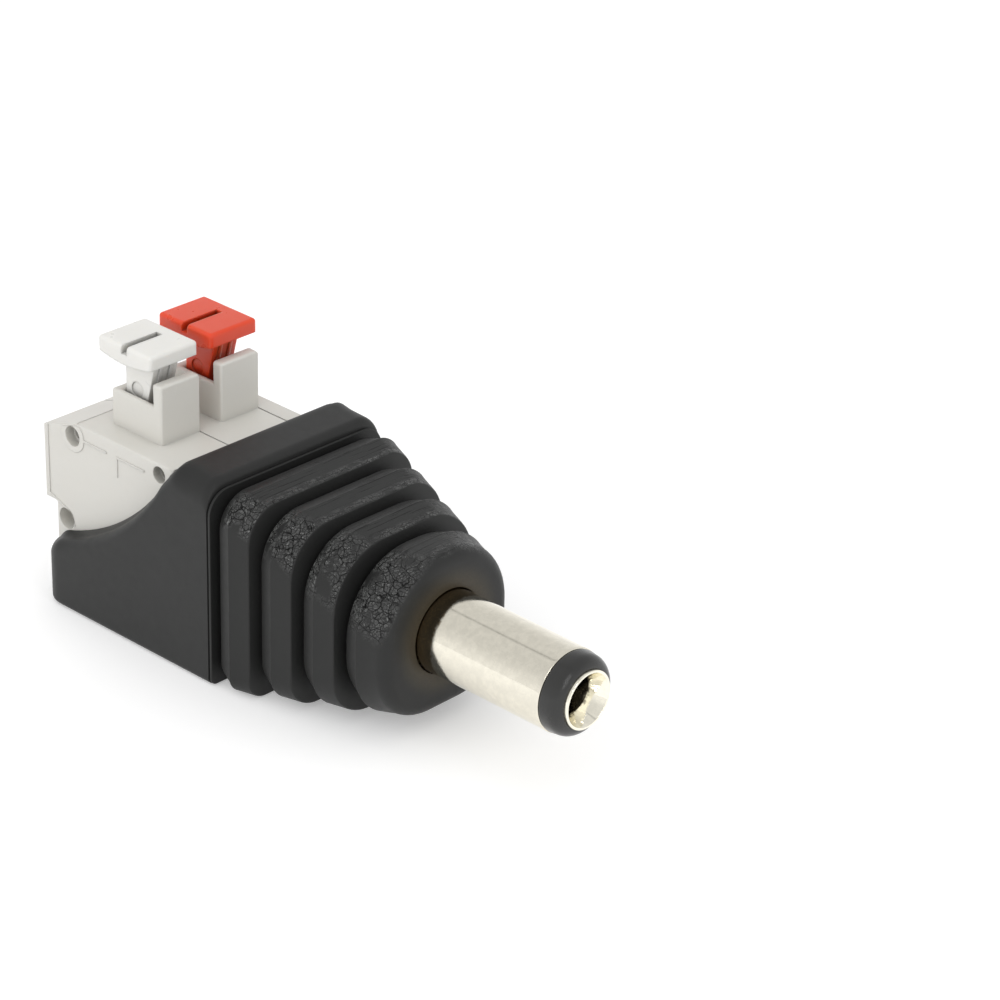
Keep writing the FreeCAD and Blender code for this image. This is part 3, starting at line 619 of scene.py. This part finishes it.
def dome_profile(sizes, barrel, depth):
    """Rows of the end dome, from inside the last rib to the hole round the barrel."""
    rows = rear_rows(sizes, depth, -0.6 * MM)
    edge = sizes.dome_edge
    start = sizes.dome_length - edge
    for degrees in range(0, 91, ARC_DEGREES):
        turn = math.radians(degrees)
        inset = edge * (1 - math.cos(turn))
        rows.append(((start + edge * math.sin(turn), 0.36 * MM + inset, 0.15 * MM + inset, 0.1 * MM + inset,
                      0.4 * MM - inset, 0, 0), 0))
    face = rows[-1][0][1:5]
    hole = barrel.radius + 0.06 * MM
    # the flat front turns from a rounded rectangle into a ring, and the ring runs back into the hole
    for offset, circle, wider in ((0, 0.35, 0.12), (0, 0.7, 0.12), (0, 1, 0.1), (-0.03, 1, 0.03), (-0.1, 1, 0),
                                  (-1.8, 1, 0)):
        rows.append(((sizes.dome_length + offset * MM,) + face + (circle, hole + wider * MM), 0))
    return eased(rows)


def ribbed_skin(name, profile, sizes, barrel, ribs, first, material):
    """Runs the tree of nodes over a profile and returns the closed plain mesh."""
    holder_mesh = bpy.data.meshes.new(name + "_profile")
    holder_mesh.from_pydata([(row[0], 0, row[1]) for row in profile],
                            [(i, i + 1) for i in range(len(profile) - 1)], [])
    for column, value_name in enumerate(PROFILE_VALUES):
        attribute = holder_mesh.attributes.new(value_name, "FLOAT", "POINT")
        attribute.data.foreach_set("value", [row[column] for row in profile])
    holder = new_object(name + "_profile", holder_mesh)
    inputs = {"Ribs": ribs, "First Rib": first, "Rear": entry_x + sizes.rear, "Axis Height": barrel.axis,
              "Material": material}
    for key in RIB_VALUES:
        inputs[key.replace("_", " ").title()] = getattr(sizes, key)
    tree = rib_tree(inputs)
    modifier = holder.modifiers.new("rib_skin", "NODES")
    modifier.node_group = tree
    for item in tree.interface.items_tree:
        if item.in_out == "INPUT" and item.name in inputs:
            modifier[item.identifier] = inputs[item.name]
    mesh = applied(holder).data
    bpy.data.node_groups.remove(tree)
    tidy_mesh(mesh)
    return mesh


def joined(name, meshes):
    """One object of several meshes."""
    bm = bmesh.new()
    for mesh in meshes:
        bm.from_mesh(mesh)
        bpy.data.meshes.remove(mesh)
    whole = bpy.data.meshes.new(name)
    bm.to_mesh(whole)
    bm.free()
    return new_object(name, whole)


# ---- shells and levers from their solids

WEIGHT = "bevel_weight_edge"
SOLID_DOUBLES = 2e-6  # points of a solid's mesh closer than this are one point
ON_ROOF = 0.02 * MM  # points this close to the roof's height lie on it
ON_WALL = 0.1 * MM  # points this close to the lowest y lie on the side wall
ONE_FACE = math.radians(1.0)  # faces that turn by less are joined
SHARP = math.radians(40.0)  # edges that turn by less aren't rounded
SHORT_EDGE = 0.45 * MM  # shorter edges of a collar stay as they are
COLLAR_RISE = 0.5 * MM  # edges that reach this far above the roof belong to a collar
STEM_FOOT = (7.6 * MM, 3.5 * MM)  # lower end of a stem's front side: distance, and depth under the lever's top
STEM_HEAD = (8.24 * MM, 1.15 * MM)  # upper end of it
RIDGE_PLACE = 0.42 * MM  # from the stem's middle to each ridge


def merged_copy(node):
    """Copy of a solid's mesh with its loose triangles joined, and nothing else kept of it."""
    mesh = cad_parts[node].data.copy()
    if "custom_normal" in mesh.attributes:
        mesh.attributes.remove(mesh.attributes["custom_normal"])
    bm = bmesh.new()
    bm.from_mesh(mesh)
    for layer in list(bm.loops.layers.uv.values()):
        bm.loops.layers.uv.remove(layer)
    bmesh.ops.remove_doubles(bm, verts=bm.verts, dist=SOLID_DOUBLES)
    bmesh.ops.dissolve_degenerate(bm, edges=bm.edges, dist=SOLID_DOUBLES / 2)
    bm.to_mesh(mesh)
    bm.free()
    return mesh


def softened(node, name, edges):
    """Shell from its solid, with its flat faces joined and its collar's edges rounded."""
    mesh = merged_copy(node)
    bm = bmesh.new()
    bm.from_mesh(mesh)
    wall_y = min(vertex.co.y for vertex in bm.verts) + ON_WALL
    inner = [edge for edge in bm.edges if min(edge.verts[0].co.y, edge.verts[1].co.y) > wall_y]
    bmesh.ops.dissolve_limit(bm, angle_limit=ONE_FACE, verts=[], edges=inner)
    bm.to_mesh(mesh)
    weights = mesh.attributes.get(WEIGHT) or mesh.attributes.new(WEIGHT, "FLOAT", "EDGE")
    bm.edges.ensure_lookup_table()
    widest = max(edges.collar, edges.wall)
    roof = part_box("terminal_end_cover")[1].z
    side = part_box("terminal_module_grey")[0].y + ON_WALL
    values = [rounding(edge, edges, roof, side) / widest for edge in bm.edges]
    bm.free()
    weights.data.foreach_set("value", values)
    obj = new_object(name, mesh)
    bevel = obj.modifiers.new("edges", "BEVEL")
    bevel.limit_method = "WEIGHT"
    bevel.width = widest
    bevel.segments = 3
    bevel.use_clamp_overlap = False
    bevel.miter_outer = "MITER_ARC"
    obj = applied(obj)
    if WEIGHT in obj.data.attributes:
        obj.data.attributes.remove(obj.data.attributes[WEIGHT])
    return obj


def rounding(edge, edges, roof, side):
    """Rounding of an edge of a terminal shell: its collar's edges and the long edge of its side wall."""
    if len(edge.link_faces) != 2 or not edge.is_convex or edge.calc_face_angle(0.0) < SHARP:
        return 0.0
    low, high = sorted(vertex.co.z - roof for vertex in edge.verts)
    if max(vertex.co.y for vertex in edge.verts) < side and max(-low, high) < ON_ROOF:
        return edges.wall
    if edge.calc_length() > SHORT_EDGE and low > -ON_ROOF and high > COLLAR_RISE:
        return edges.collar
    return 0.0


def stem_ridges(node, edges):
    """Two low ridges on the raked front side of a lever's stem."""
    low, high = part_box(node)
    foot, head = (Vector((entry_x + x, 0, high.z - under)) for x, under in (STEM_FOOT, STEM_HEAD))
    outward = Vector((head.z - foot.z, 0, foot.x - head.x)).normalized() * edges.stem_ridge_height
    centre, half = (low.y + high.y) / 2, edges.stem_ridge / 2
    meshes = []
    for middle in (centre - RIDGE_PLACE, centre + RIDGE_PLACE):
        corners = [end + way * outward + Vector((0, y, 0))
                   for end in (foot, head) for y in (middle - half, middle + half) for way in (-1, 1)]
        meshes.append(mesh_from("stem_ridge", corners, BOX_FACES))
    return meshes


# ---- materials

class Paint(NodeDesk):
    """Adds the nodes of one material. Patterns follow the object's own coordinates."""

    def __init__(self, name):
        self.material = bpy.data.materials.new(name)
        self.material.use_nodes = True
        super().__init__(self.material.node_tree)
        self.shader = self.tree.nodes["Principled BSDF"]
        self.place = self.result("ShaderNodeTexCoord", "Object")

    def noise(self, size, detail=3.0, rough=0.5, scale=None, output="Fac"):
        """Soft noise with spots of about this size, in millimetres, stretched where a scale is under 1."""
        place = self.place
        if scale:
            place = self.result("ShaderNodeMapping", 0, {"Scale": scale, "Vector": place})
        return self.result("ShaderNodeTexNoise", output, {
            "Scale": 1.0 / (size * MM), "Detail": detail, "Roughness": rough, "Vector": place})

    def cells(self, size, vector, output="Distance", feature="DISTANCE_TO_EDGE"):
        """Cells of about this size, in millimetres."""
        return self.result("ShaderNodeTexVoronoi", output, {"Scale": 1.0 / (size * MM), "Vector": vector},
                           feature=feature)

    def bent(self, size, reach):
        """Coordinates pushed about by soft noise, so that patterns on them run crooked."""
        noise = self.noise(size, 2.0, output="Color")
        push = self.result("ShaderNodeVectorMath", 0, {0: noise, "Scale": reach * MM}, operation="SCALE")
        return self.result("ShaderNodeVectorMath", 0, {0: self.place, 1: push}, operation="ADD")

    def blend(self, factor, first, second):
        return self.result("ShaderNodeMix", 2, {0: factor, 6: first, 7: second}, data_type="RGBA")

    def layers(self, tone, base, *parts):
        """Lays shades of the base colour over a tone, each where its own part says."""
        for part, factor in parts:
            tone = self.blend(part, tone, shade(base, factor))
        return tone

    def bump(self, height, distance, strength=1.0, under=None):
        """Normal that follows a height; the distance is in millimetres."""
        inputs = {"Strength": strength, "Distance": distance * MM, "Height": height}
        if under is not None:
            inputs["Normal"] = under
        return self.result("ShaderNodeBump", 0, inputs)

    def set(self, **values):
        for key, value in values.items():
            self.plug_in(self.shader.inputs[key.replace("_", " ")], value)


def shade(rgb, factor=1.0):
    return (*(min(part * factor, 1.0) for part in rgb), 1.0)


def housing_material(finish, ribs, barrel):
    """Soft black moulding: fine grain, lines along the ribs' tops, a crackled skin at their corners, and painted
    light: ribs' tops painted lighter, painted glints and sheen on the crackled skin, and a brown painted reflection of
    the barrel round its hole.
    """
    paint = Paint("soft_black_moulding")
    noise, spread = paint.noise, paint.spread
    normal = paint.split(paint.result("ShaderNodeNewGeometry", "Normal"))
    place = paint.split(paint.place)
    upward = paint.math("MAXIMUM", normal[2], 0.0)
    slant = paint.math("ABSOLUTE", normal[1]) * upward
    corner = spread(slant, 0.05, 0.3) * spread(place[1], -1.0 * MM, 4.0 * MM, 1.0, 0.3)
    top = spread(upward, 0.6, 0.9)
    along = place[0] - (entry_x + ribs.rear)
    turn = paint.math("FRACT", along / ribs.pitch)
    torn = spread(noise(0.5, 3, 0.6, (1.0, 0.35, 1.0)), 0.4, 0.6)
    margin = spread(turn, 0.66, 0.76) * top * torn
    past_box = spread(along, 0.0, 0.6 * MM)
    patches = spread(noise(1.4), 0.34, 0.5)
    worn = paint.math("MAXIMUM", corner * patches, margin * 0.75) * past_box
    rib_tops = top * past_box
    # band: rear part of each rib on the crackled corners, where the plates get painted glints
    band = worn * corner * spread(turn, 0.36, 0.39, 1.0, 0.0)

    bent = paint.bent(0.5, 0.35)
    cracks = spread(paint.cells(0.62, bent), 0.0, 0.055)
    hairs = spread(paint.cells(0.24, bent), 0.0, 0.12)
    plate = paint.split(paint.cells(0.24, bent, "Color", "F1"), "Color")
    lines = spread(noise(0.11, 2, 0.5, (1.0, 0.03, 0.6)), 0.36, 0.46)
    # small specks on the crackled skin that get painted glints
    glint_specks = spread(noise(0.08), 0.57, 0.66)
    whole = cracks * (hairs * 0.6 + 0.4)
    gaps = worn * (1.0 - whole)
    cloudy = paint.blend(noise(4, 4), shade(finish.housing, 0.9), shade(finish.housing, 1.1))
    # painted light: rib tops painted lighter (1.35); crackle plates partly worn lighter and partly painted sheen
    # (2.1); painted glints on the rear band's plates (6.0) and on small specks (11.0). The lines (0.5) and the cracks
    # (0.22) are the skin's own dark marks
    tone = paint.layers(cloudy, finish.housing, (rib_tops, 1.35), (rib_tops * (1.0 - lines), 0.5),
                        (worn * plate[1], 2.1), (band * plate[2], 6.0), (worn * (glint_specks * plate[1]), 11.0),
                        (gaps, 0.22))

    # brown painted reflection of the barrel on the dome's face round its hole
    above_axis = place[2] - barrel.axis
    from_axis = paint.math("SQRT", place[1] * place[1] + above_axis * above_axis)
    front = entry_x + barrel.start
    near_hole = (spread(from_axis, 2.7 * MM, 4.6 * MM, 1.0, 0.0)
                 * spread(place[0], front - 0.9 * MM, front - 0.3 * MM))
    painted_reflection = near_hole * (noise(0.16, 4, 0.7) * 0.9 + 0.35)
    paint.set(Base_Color=paint.blend(painted_reflection, tone, shade(finish.barrel_reflection)))
    paint.set(Roughness=noise(0.6) * 0.12 + 0.42 - worn * (plate[0] * 0.26 + 0.06))
    skin = (whole + plate[0] * 0.7) * worn + lines * rib_tops * 0.25
    paint.set(Normal=paint.bump(skin, 0.07, 1.0, paint.bump(noise(0.06, 2), 0.005)))
    paint.set(Specular_IOR_Level=paint.math("MAXIMUM", worn * 0.45 + 0.3 - gaps * 0.7, 0.02))
    return paint.material


def plastic_material(name, base, roughness, soft=0.0, soft_colour=(1.0, 0.9, 0.8), hollow=0.0, depth=0.3, worn=0.1):
    """Moulded plastic with faint flow marks, fine grain, painted shade in narrow places (hollow: its reach, depth: how
    dark it is) and painted highlights along rounded edges (worn: the rounding's radius). Both lengths are in
    millimetres."""
    paint = Paint(name)
    noise, spread = paint.noise, paint.spread
    flow = noise(3.5, 4, 0.55, (0.6, 1.0, 1.4))
    marks = spread(noise(0.5, 4, 0.6), 0.55, 0.8)
    rounded = paint.result("ShaderNodeBevel", 0, {"Radius": worn * MM}, samples=6)
    flat = paint.result("ShaderNodeNewGeometry", "Normal")
    agree = paint.result("ShaderNodeVectorMath", "Value", {0: rounded, 1: flat}, operation="DOT_PRODUCT")
    # painted highlight where the rounded shading normal turns away from the face's own normal
    edge_highlight = spread(agree, 0.75, 0.98, 1.0, 0.0)
    tone = paint.layers(paint.blend(flow, shade(base, 0.965), shade(base, 1.03)), base,
                        (marks * 0.35, 0.92), (edge_highlight * 0.8, 1.16))
    if hollow:
        # painted shade in narrow places, from the occlusion within the hollow's reach
        near = paint.result("ShaderNodeAmbientOcclusion", "AO", {"Distance": hollow * MM}, samples=6)
        tone = paint.layers(tone, base, (spread(near, 0.1, 0.75, 0.9, 0.0), depth))
    paint.set(Base_Color=tone, Roughness=noise(0.8) * 0.14 + (roughness - 0.07))
    paint.set(Normal=paint.bump(noise(0.05, 2), 0.0025, 1.0, paint.bump(flow, 0.03, 0.6, rounded)))
    if soft:
        paint.set(Subsurface_Weight=soft, Subsurface_Scale=0.8 * MM, Subsurface_Radius=soft_colour)
    return paint.material


def plating_material(name, base, painted_dark, painted_dark_end, polish, waves):
    """Nickel plating with fine pits and faint drawing marks, and a painted dark band with lighter painted specks up to
    a distance: painted reflection of the dark housing at the sleeve's root, painted shade deep inside the contact.
    """
    paint = Paint(name)
    noise, spread = paint.noise, paint.spread
    streaks = noise(0.12, 4, 0.6, (0.05, 1.0, 1.0))
    wide = noise(0.9, 3, 0.5, (0.2, 1.0, 1.0))
    pits = spread(noise(0.07), 0.6, 0.75)
    cloud = spread(noise(0.5, 5, 0.65), 0.35, 0.7)
    ragged = paint.split(paint.place)[0] + noise(0.3, 4) * (0.6 * MM)
    # root: where the painted dark band lies, with lighter painted specks in it
    root = spread(ragged, entry_x + painted_dark_end, entry_x + painted_dark_end + 0.2 * MM, 1.0, 0.0)
    painted_specks = spread(noise(0.09), 0.5, 0.62) * root
    tone = paint.layers(paint.blend(cloud, shade(base, 0.94), shade(base, 1.03)), base, (pits * 0.3, 0.6))
    tone = paint.layers(tone, painted_dark, (root * 0.9, 1.0), (painted_specks * 0.5, 2.4))
    paint.set(Base_Color=tone, Metallic=1.0, Roughness=streaks * 0.06 + polish + cloud * 0.06)
    grain = paint.bump(noise(0.05, 2), 0.0012)
    paint.set(Normal=paint.bump(streaks, 0.002, 1.0, paint.bump(wide, waves, 1.0, grain)))
    return paint.material


def metal_material(name, base, roughness, stretch):
    """Plain strip or wire metal with rolling marks and faint staining."""
    paint = Paint(name)
    lines = paint.noise(0.12, 4, 0.6, stretch)
    tone = paint.blend(paint.noise(1.5, 4), shade(base, 0.86), shade(base, 1.06))
    paint.set(Base_Color=tone, Metallic=1.0, Roughness=lines * 0.2 + (roughness - 0.1))
    paint.set(Normal=paint.bump(lines, 0.004))
    return paint.material


# ---- operators

class PLUG_OT_housing(bpy.types.Operator):
    """Makes the housing: box part with the seat, three ribs and the end dome"""
    bl_idname = "barrel_plug.housing"
    bl_label = "Housing"

    def execute(self, context):
        scene = context.scene
        sizes, ribs, barrel = scene.plug_housing, scene.plug_ribs, scene.plug_barrel
        material = housing_material(scene.plug_finish, ribs, barrel)
        depth = sizes.groove_depth
        skin = ribbed_skin("ribs", rib_profile(ribs, depth), ribs, barrel, ribs.count, 0, material)
        dome = ribbed_skin("dome", dome_profile(ribs, barrel, depth), ribs, barrel, 1, ribs.count, material)
        housing = joined("housing_moulding", [box_part(sizes), skin, dome])
        smooth(housing, 28)
        finish_piece(housing, "plug", material, "housing")
        return {"FINISHED"}


class PLUG_OT_shells(bpy.types.Operator):
    """Makes the two terminal shells and the end plate with rounded edges"""
    bl_idname = "barrel_plug.shells"
    bl_label = "Terminal Shells"

    def execute(self, context):
        scene = context.scene
        edges = scene.plug_edges
        # hollow and depth: reach and darkness of the painted shade in the shells' narrow places
        material = plastic_material("light_grey_plastic", scene.plug_finish.shell, 0.45, 0.12, hollow=1.2, depth=0.55)
        line = entry_x + edges.crease
        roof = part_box("terminal_end_cover")[1].z
        past = 1 * MM
        for node in ("terminal_module_grey", "terminal_module_red", "terminal_end_cover"):
            shell = softened(node, node.replace("module", "shell") + "_moulded", edges)
            low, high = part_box(node)
            if node != "terminal_end_cover":
                shell = cut_away(shell, block_mesh("crease", (line, low.y - past, roof - edges.crease_width),
                                                   (line + edges.crease_width, high.y + past, roof + past)))
            finish_piece(even_normals(shell), "plug", material, node)
        return {"FINISHED"}


class PLUG_OT_levers(bpy.types.Operator):
    """Makes the two push levers"""
    bl_idname = "barrel_plug.levers"
    bl_label = "Levers"

    def execute(self, context):
        scene = context.scene
        for node, soft, soft_colour in (("lever_grey", 0.25, (1.0, 0.95, 0.85)), ("lever_red", 0.6, (1.0, 0.2, 0.06))):
            # hollow: reach of the painted shade in the levers' narrow places
            material = plastic_material(node + "_plastic", getattr(scene.plug_finish, node), 0.3, soft, soft_colour,
                                        hollow=1.6, worn=0.18)
            lever = joined(node + "_moulded", [merged_copy(node)] + stem_ridges(node, scene.plug_edges))
            finish_piece(even_normals(lever), node, material, node)
        return {"FINISHED"}


class PLUG_OT_barrel(bpy.types.Operator):
    """Makes the plated sleeve, the insulating ring and the inner contact"""
    bl_idname = "barrel_plug.barrel"
    bl_label = "Barrel"

    def execute(self, context):
        scene = context.scene
        sizes, finish = scene.plug_barrel, scene.plug_finish
        # the sleeve gets a painted reflection of the housing at its root, the contact painted shade deep inside its
        # tube
        plating = plating_material("nickel_plating", finish.plating, finish.root, sizes.start + 1.4 * MM, 0.04, 0.003)
        polished = plating_material("polished_plating", finish.contact, finish.bore, sizes.tip - 0.95 * MM, 0.02, 0.03)
        black = plastic_material("gloss_black_plastic", finish.insulator, 0.22)
        tip, end, bore, flare = sizes.tip, sizes.end, sizes.bore, sizes.flare
        # small roundings, and the gap that keeps two pieces from sharing a face
        hair, edge, foot, lip, apart = 0.02 * MM, 0.09 * MM, 0.11 * MM, 0.06 * MM, 0.002 * MM
        flange_front = sizes.start - 1.7 * MM
        flange_rear = flange_front - 0.8 * MM
        sleeve = [(flange_rear, bore), (flange_rear, sizes.flange_radius), (flange_front, sizes.flange_radius),
                  (flange_front, sizes.root_radius), (sizes.start, sizes.radius), (end - 4 * edge, sizes.radius),
                  *arc_points((end - edge, sizes.radius - edge), edge, 90, 0, 5),
                  (end, bore + hair), (end - hair, bore)]
        self.turn("sleeve_plated", sleeve, sizes, "plating", plating, "plug_sleeve")

        rear = flange_rear - 0.5 * MM
        round_x = end + sizes.ring_length - sizes.ring_round
        round_r = sizes.ring_radius - lip - sizes.ring_round
        flare_x = tip - 1.2 * MM
        flare_end = tip - 0.4 * MM
        ring = [(rear, sizes.contact), (rear, bore), (end + apart, bore),
                *arc_points((end + foot, sizes.ring_radius - foot), foot, 180, 90, 4),
                *arc_points((round_x, round_r), sizes.ring_round, 88, 10, 12),
                (flare_end, flare + apart), (flare_x, sizes.contact)]
        self.turn("ring_moulded", ring, sizes, "insulator", black, "plug_insulator")

        rivet, head = 0.9 * MM, 1.3 * MM  # radii
        bore_end = 30.0 * MM
        rivet_rear = rear - 1.1 * MM
        rivet_head = rivet_rear - 0.5 * MM
        mouth = flare - sizes.rim
        contact = [(rivet_head, 0), (rivet_head, head), (rivet_rear, head), (rivet_rear, rivet), (rear, rivet),
                   (rear, sizes.contact), (flare_x, sizes.contact), (flare_end, flare), (tip - lip, flare),
                   *arc_points((tip - lip, flare - lip), lip, 75, 0, 3),
                   *arc_points((tip - lip, mouth + lip), lip, 0, -60, 3),
                   (flare_x + lip, sizes.throat + 0.03 * MM), (flare_x - hair, sizes.throat),
                   (flare_x - 0.1 * MM, sizes.throat - 0.01 * MM), (flare_x - 0.4 * MM, sizes.contact_bore),
                   (bore_end, sizes.contact_bore), (bore_end, 0)]
        self.turn("contact_plated", contact, sizes, "plating", polished, "centre_contact")
        return {"FINISHED"}

    def turn(self, name, outline, sizes, slot, material, node):
        obj = new_object(name, mesh_from(name, *spun(outline, sizes.axis, sizes.segments)))
        smooth(obj, 30)
        finish_piece(obj, "plug", material, node)


class PLUG_OT_inner_parts(bpy.types.Operator):
    """Finishes the springs, bars, lugs, wires and inner mould"""
    bl_idname = "barrel_plug.inner_parts"
    bl_label = "Inner Parts"

    def execute(self, context):
        finish = context.scene.plug_finish
        spring = metal_material("spring_steel_strip", finish.spring, 0.3, (0.2, 1.0, 1.0))
        for colour_name in ("grey", "red"):
            node = "clamp_spring_" + colour_name
            obj = new_object(node + "_leaf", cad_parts[node].data.copy())
            finish_piece(obj, "plug", spring, node)
            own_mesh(obj)
        tin = metal_material("tinned_strip", finish.tin, 0.35, (0.3, 1.0, 1.0))
        copper = metal_material("bare_copper", finish.copper, 0.35, (0.1, 1.0, 1.0))
        black = plastic_material("black_sleeving", finish.sleeving_black, 0.45)
        red = plastic_material("red_sleeving", finish.sleeving_red, 0.45)
        mould = plastic_material("plain_moulding", finish.mould, 0.5)
        insulator = plastic_material("black_washer", finish.insulator, 0.35)
        for material, nodes in ((tin, ("current_bar_grey", "current_bar_red", "sleeve_lug", "centre_lug")),
                                (copper, ("conductor_negative", "conductor_positive")),
                                (black, ("insulation_negative",)), (red, ("insulation_positive",)),
                                (mould, ("inner_mould",)), (insulator, ("rear_washer",))):
            for node in nodes:
                for slot_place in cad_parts[node].material_slots:
                    slot_place.material = material
        return {"FINISHED"}


class PLUG_OT_studio(bpy.types.Operator):
    """Sets up the pale floor, the soft lamps and the camera"""
    bl_idname = "barrel_plug.studio"
    bl_label = "Studio"

    def execute(self, context):
        scene = context.scene
        settings = scene.plug_studio
        self.floor(settings)
        self.sky(scene, settings)
        self.lamp("key_lamp", (-0.03, -0.43, 0.27), 0.62, settings.key)
        self.lamp("top_lamp", (0.02, 0.04, 0.45), 0.5, settings.top)
        self.lamp("left_strip", (0.36, -0.13, 0.2), 0.02, settings.strips, 0.2)
        self.lamp("right_strip", (0.37, -0.04, 0.2), 0.02, settings.strips, 0.2)
        self.camera(scene, settings)
        scene.view_settings.view_transform = "Standard"
        return {"FINISHED"}

    def floor(self, settings):
        """Pale floor that looks as white as the backdrop and still takes the shadow."""
        half, level = 1.5, -0.02 * MM
        corners = [(x * half, y * half, level) for x, y in ((-1, -1), (1, -1), (1, 1), (-1, 1))]
        floor = new_object("floor", mesh_from("floor", corners, [(0, 1, 2, 3)]))
        paint = Paint("pale_floor")
        paint.set(Base_Color=shade(settings.backdrop, 0.86), Roughness=0.9, Specular_IOR_Level=0.0,
                  Emission_Color=shade(settings.backdrop), Emission_Strength=paint.seen_rays()[0] * 0.28)
        floor.data.materials.append(paint.material)

    def sky(self, scene, settings):
        """White backdrop, even light, and a grey band overhead and a thin dark seam for the metal to mirror."""
        world = bpy.data.worlds.new("studio")
        scene.world = world
        world.use_nodes = True
        desk = NodeDesk(world.node_tree)
        background = world.node_tree.nodes["Background"]
        background.inputs["Color"].default_value = shade(settings.backdrop)
        seen, glossy = desk.seen_rays()
        heading = desk.split(desk.result("ShaderNodeTexCoord", "Generated"))
        overhead = desk.spread(heading[2], 0.0, 0.7, 1.0, 0.74)
        seam = desk.spread(desk.math("ABSOLUTE", heading[1]), 0.01, 0.05, 0.6)
        mirrored = desk.mix(glossy, 1.0, overhead * seam)
        desk.plug_in(background.inputs["Strength"], desk.mix(seen, settings.sky, mirrored))

    def lamp(self, name, place, size, power, height=None):
        """Area lamp that faces the plug. One with a height is a strip, which metal and gloss mirror."""
        data = bpy.data.lights.new(name, "AREA")
        data.size = size
        if height:
            data.shape = "RECTANGLE"
            data.size_y = height
        data.energy = power
        lamp = new_object(name, data)
        lamp.visible_glossy = bool(height)
        lamp.location = place
        target = Vector((0.0, 0.0, 0.007))
        lamp.rotation_euler = (target - lamp.location).to_track_quat("-Z", "Y").to_euler()

    def camera(self, scene, settings):
        """Camera at the place and angle solved from the photograph."""
        data = bpy.data.cameras.new("camera")
        data.lens = settings.focal_length
        data.sensor_width = 36.0
        data.clip_start = 0.01
        scene.camera = new_object("camera", data)
        right = Vector((0.72319, 0.69017, 0.02585))
        up = Vector((-0.33227, 0.31486, 0.88908))
        back = Vector((0.60547, -0.65156, 0.45703))
        turn = Matrix((right, up, back)).transposed().to_4x4()
        turn.translation = Vector((0.134825, -0.130367, 0.10851))
        scene.camera.matrix_world = turn


class PLUG_PT_panel(bpy.types.Panel):
    """Lists the steps that make the plug and its studio"""
    bl_idname = "PLUG_PT_panel"
    bl_label = "Barrel Plug"
    bl_space_type = "VIEW_3D"
    bl_region_type = "UI"
    bl_category = "Barrel Plug"

    def draw(self, context):
        for step in STEPS:
            self.layout.operator(step.bl_idname)


STEPS = (PLUG_OT_studio, PLUG_OT_housing, PLUG_OT_shells, PLUG_OT_levers, PLUG_OT_barrel, PLUG_OT_inner_parts)
GROUPS = (("plug_housing", HousingSizes), ("plug_ribs", RibSizes), ("plug_barrel", BarrelSizes),
          ("plug_edges", EdgeSizes), ("plug_finish", PlugFinish), ("plug_studio", StudioSettings))


def register():
    for name, group in GROUPS:
        bpy.utils.register_class(group)
        setattr(bpy.types.Scene, name, bpy.props.PointerProperty(type=group))
    for step in STEPS:
        bpy.utils.register_class(step)
    bpy.utils.register_class(PLUG_PT_panel)


def unregister():
    bpy.utils.unregister_class(PLUG_PT_panel)
    for step in reversed(STEPS):
        bpy.utils.unregister_class(step)
    for name, group in reversed(GROUPS):
        delattr(bpy.types.Scene, name)
        bpy.utils.unregister_class(group)


def main():
    register()
    bpy.ops.barrel_plug.studio()
    bpy.ops.barrel_plug.housing()
    bpy.ops.barrel_plug.shells()
    bpy.ops.barrel_plug.levers()
    bpy.ops.barrel_plug.barrel()
    bpy.ops.barrel_plug.inner_parts()


if __name__ == "__main__":
    main()
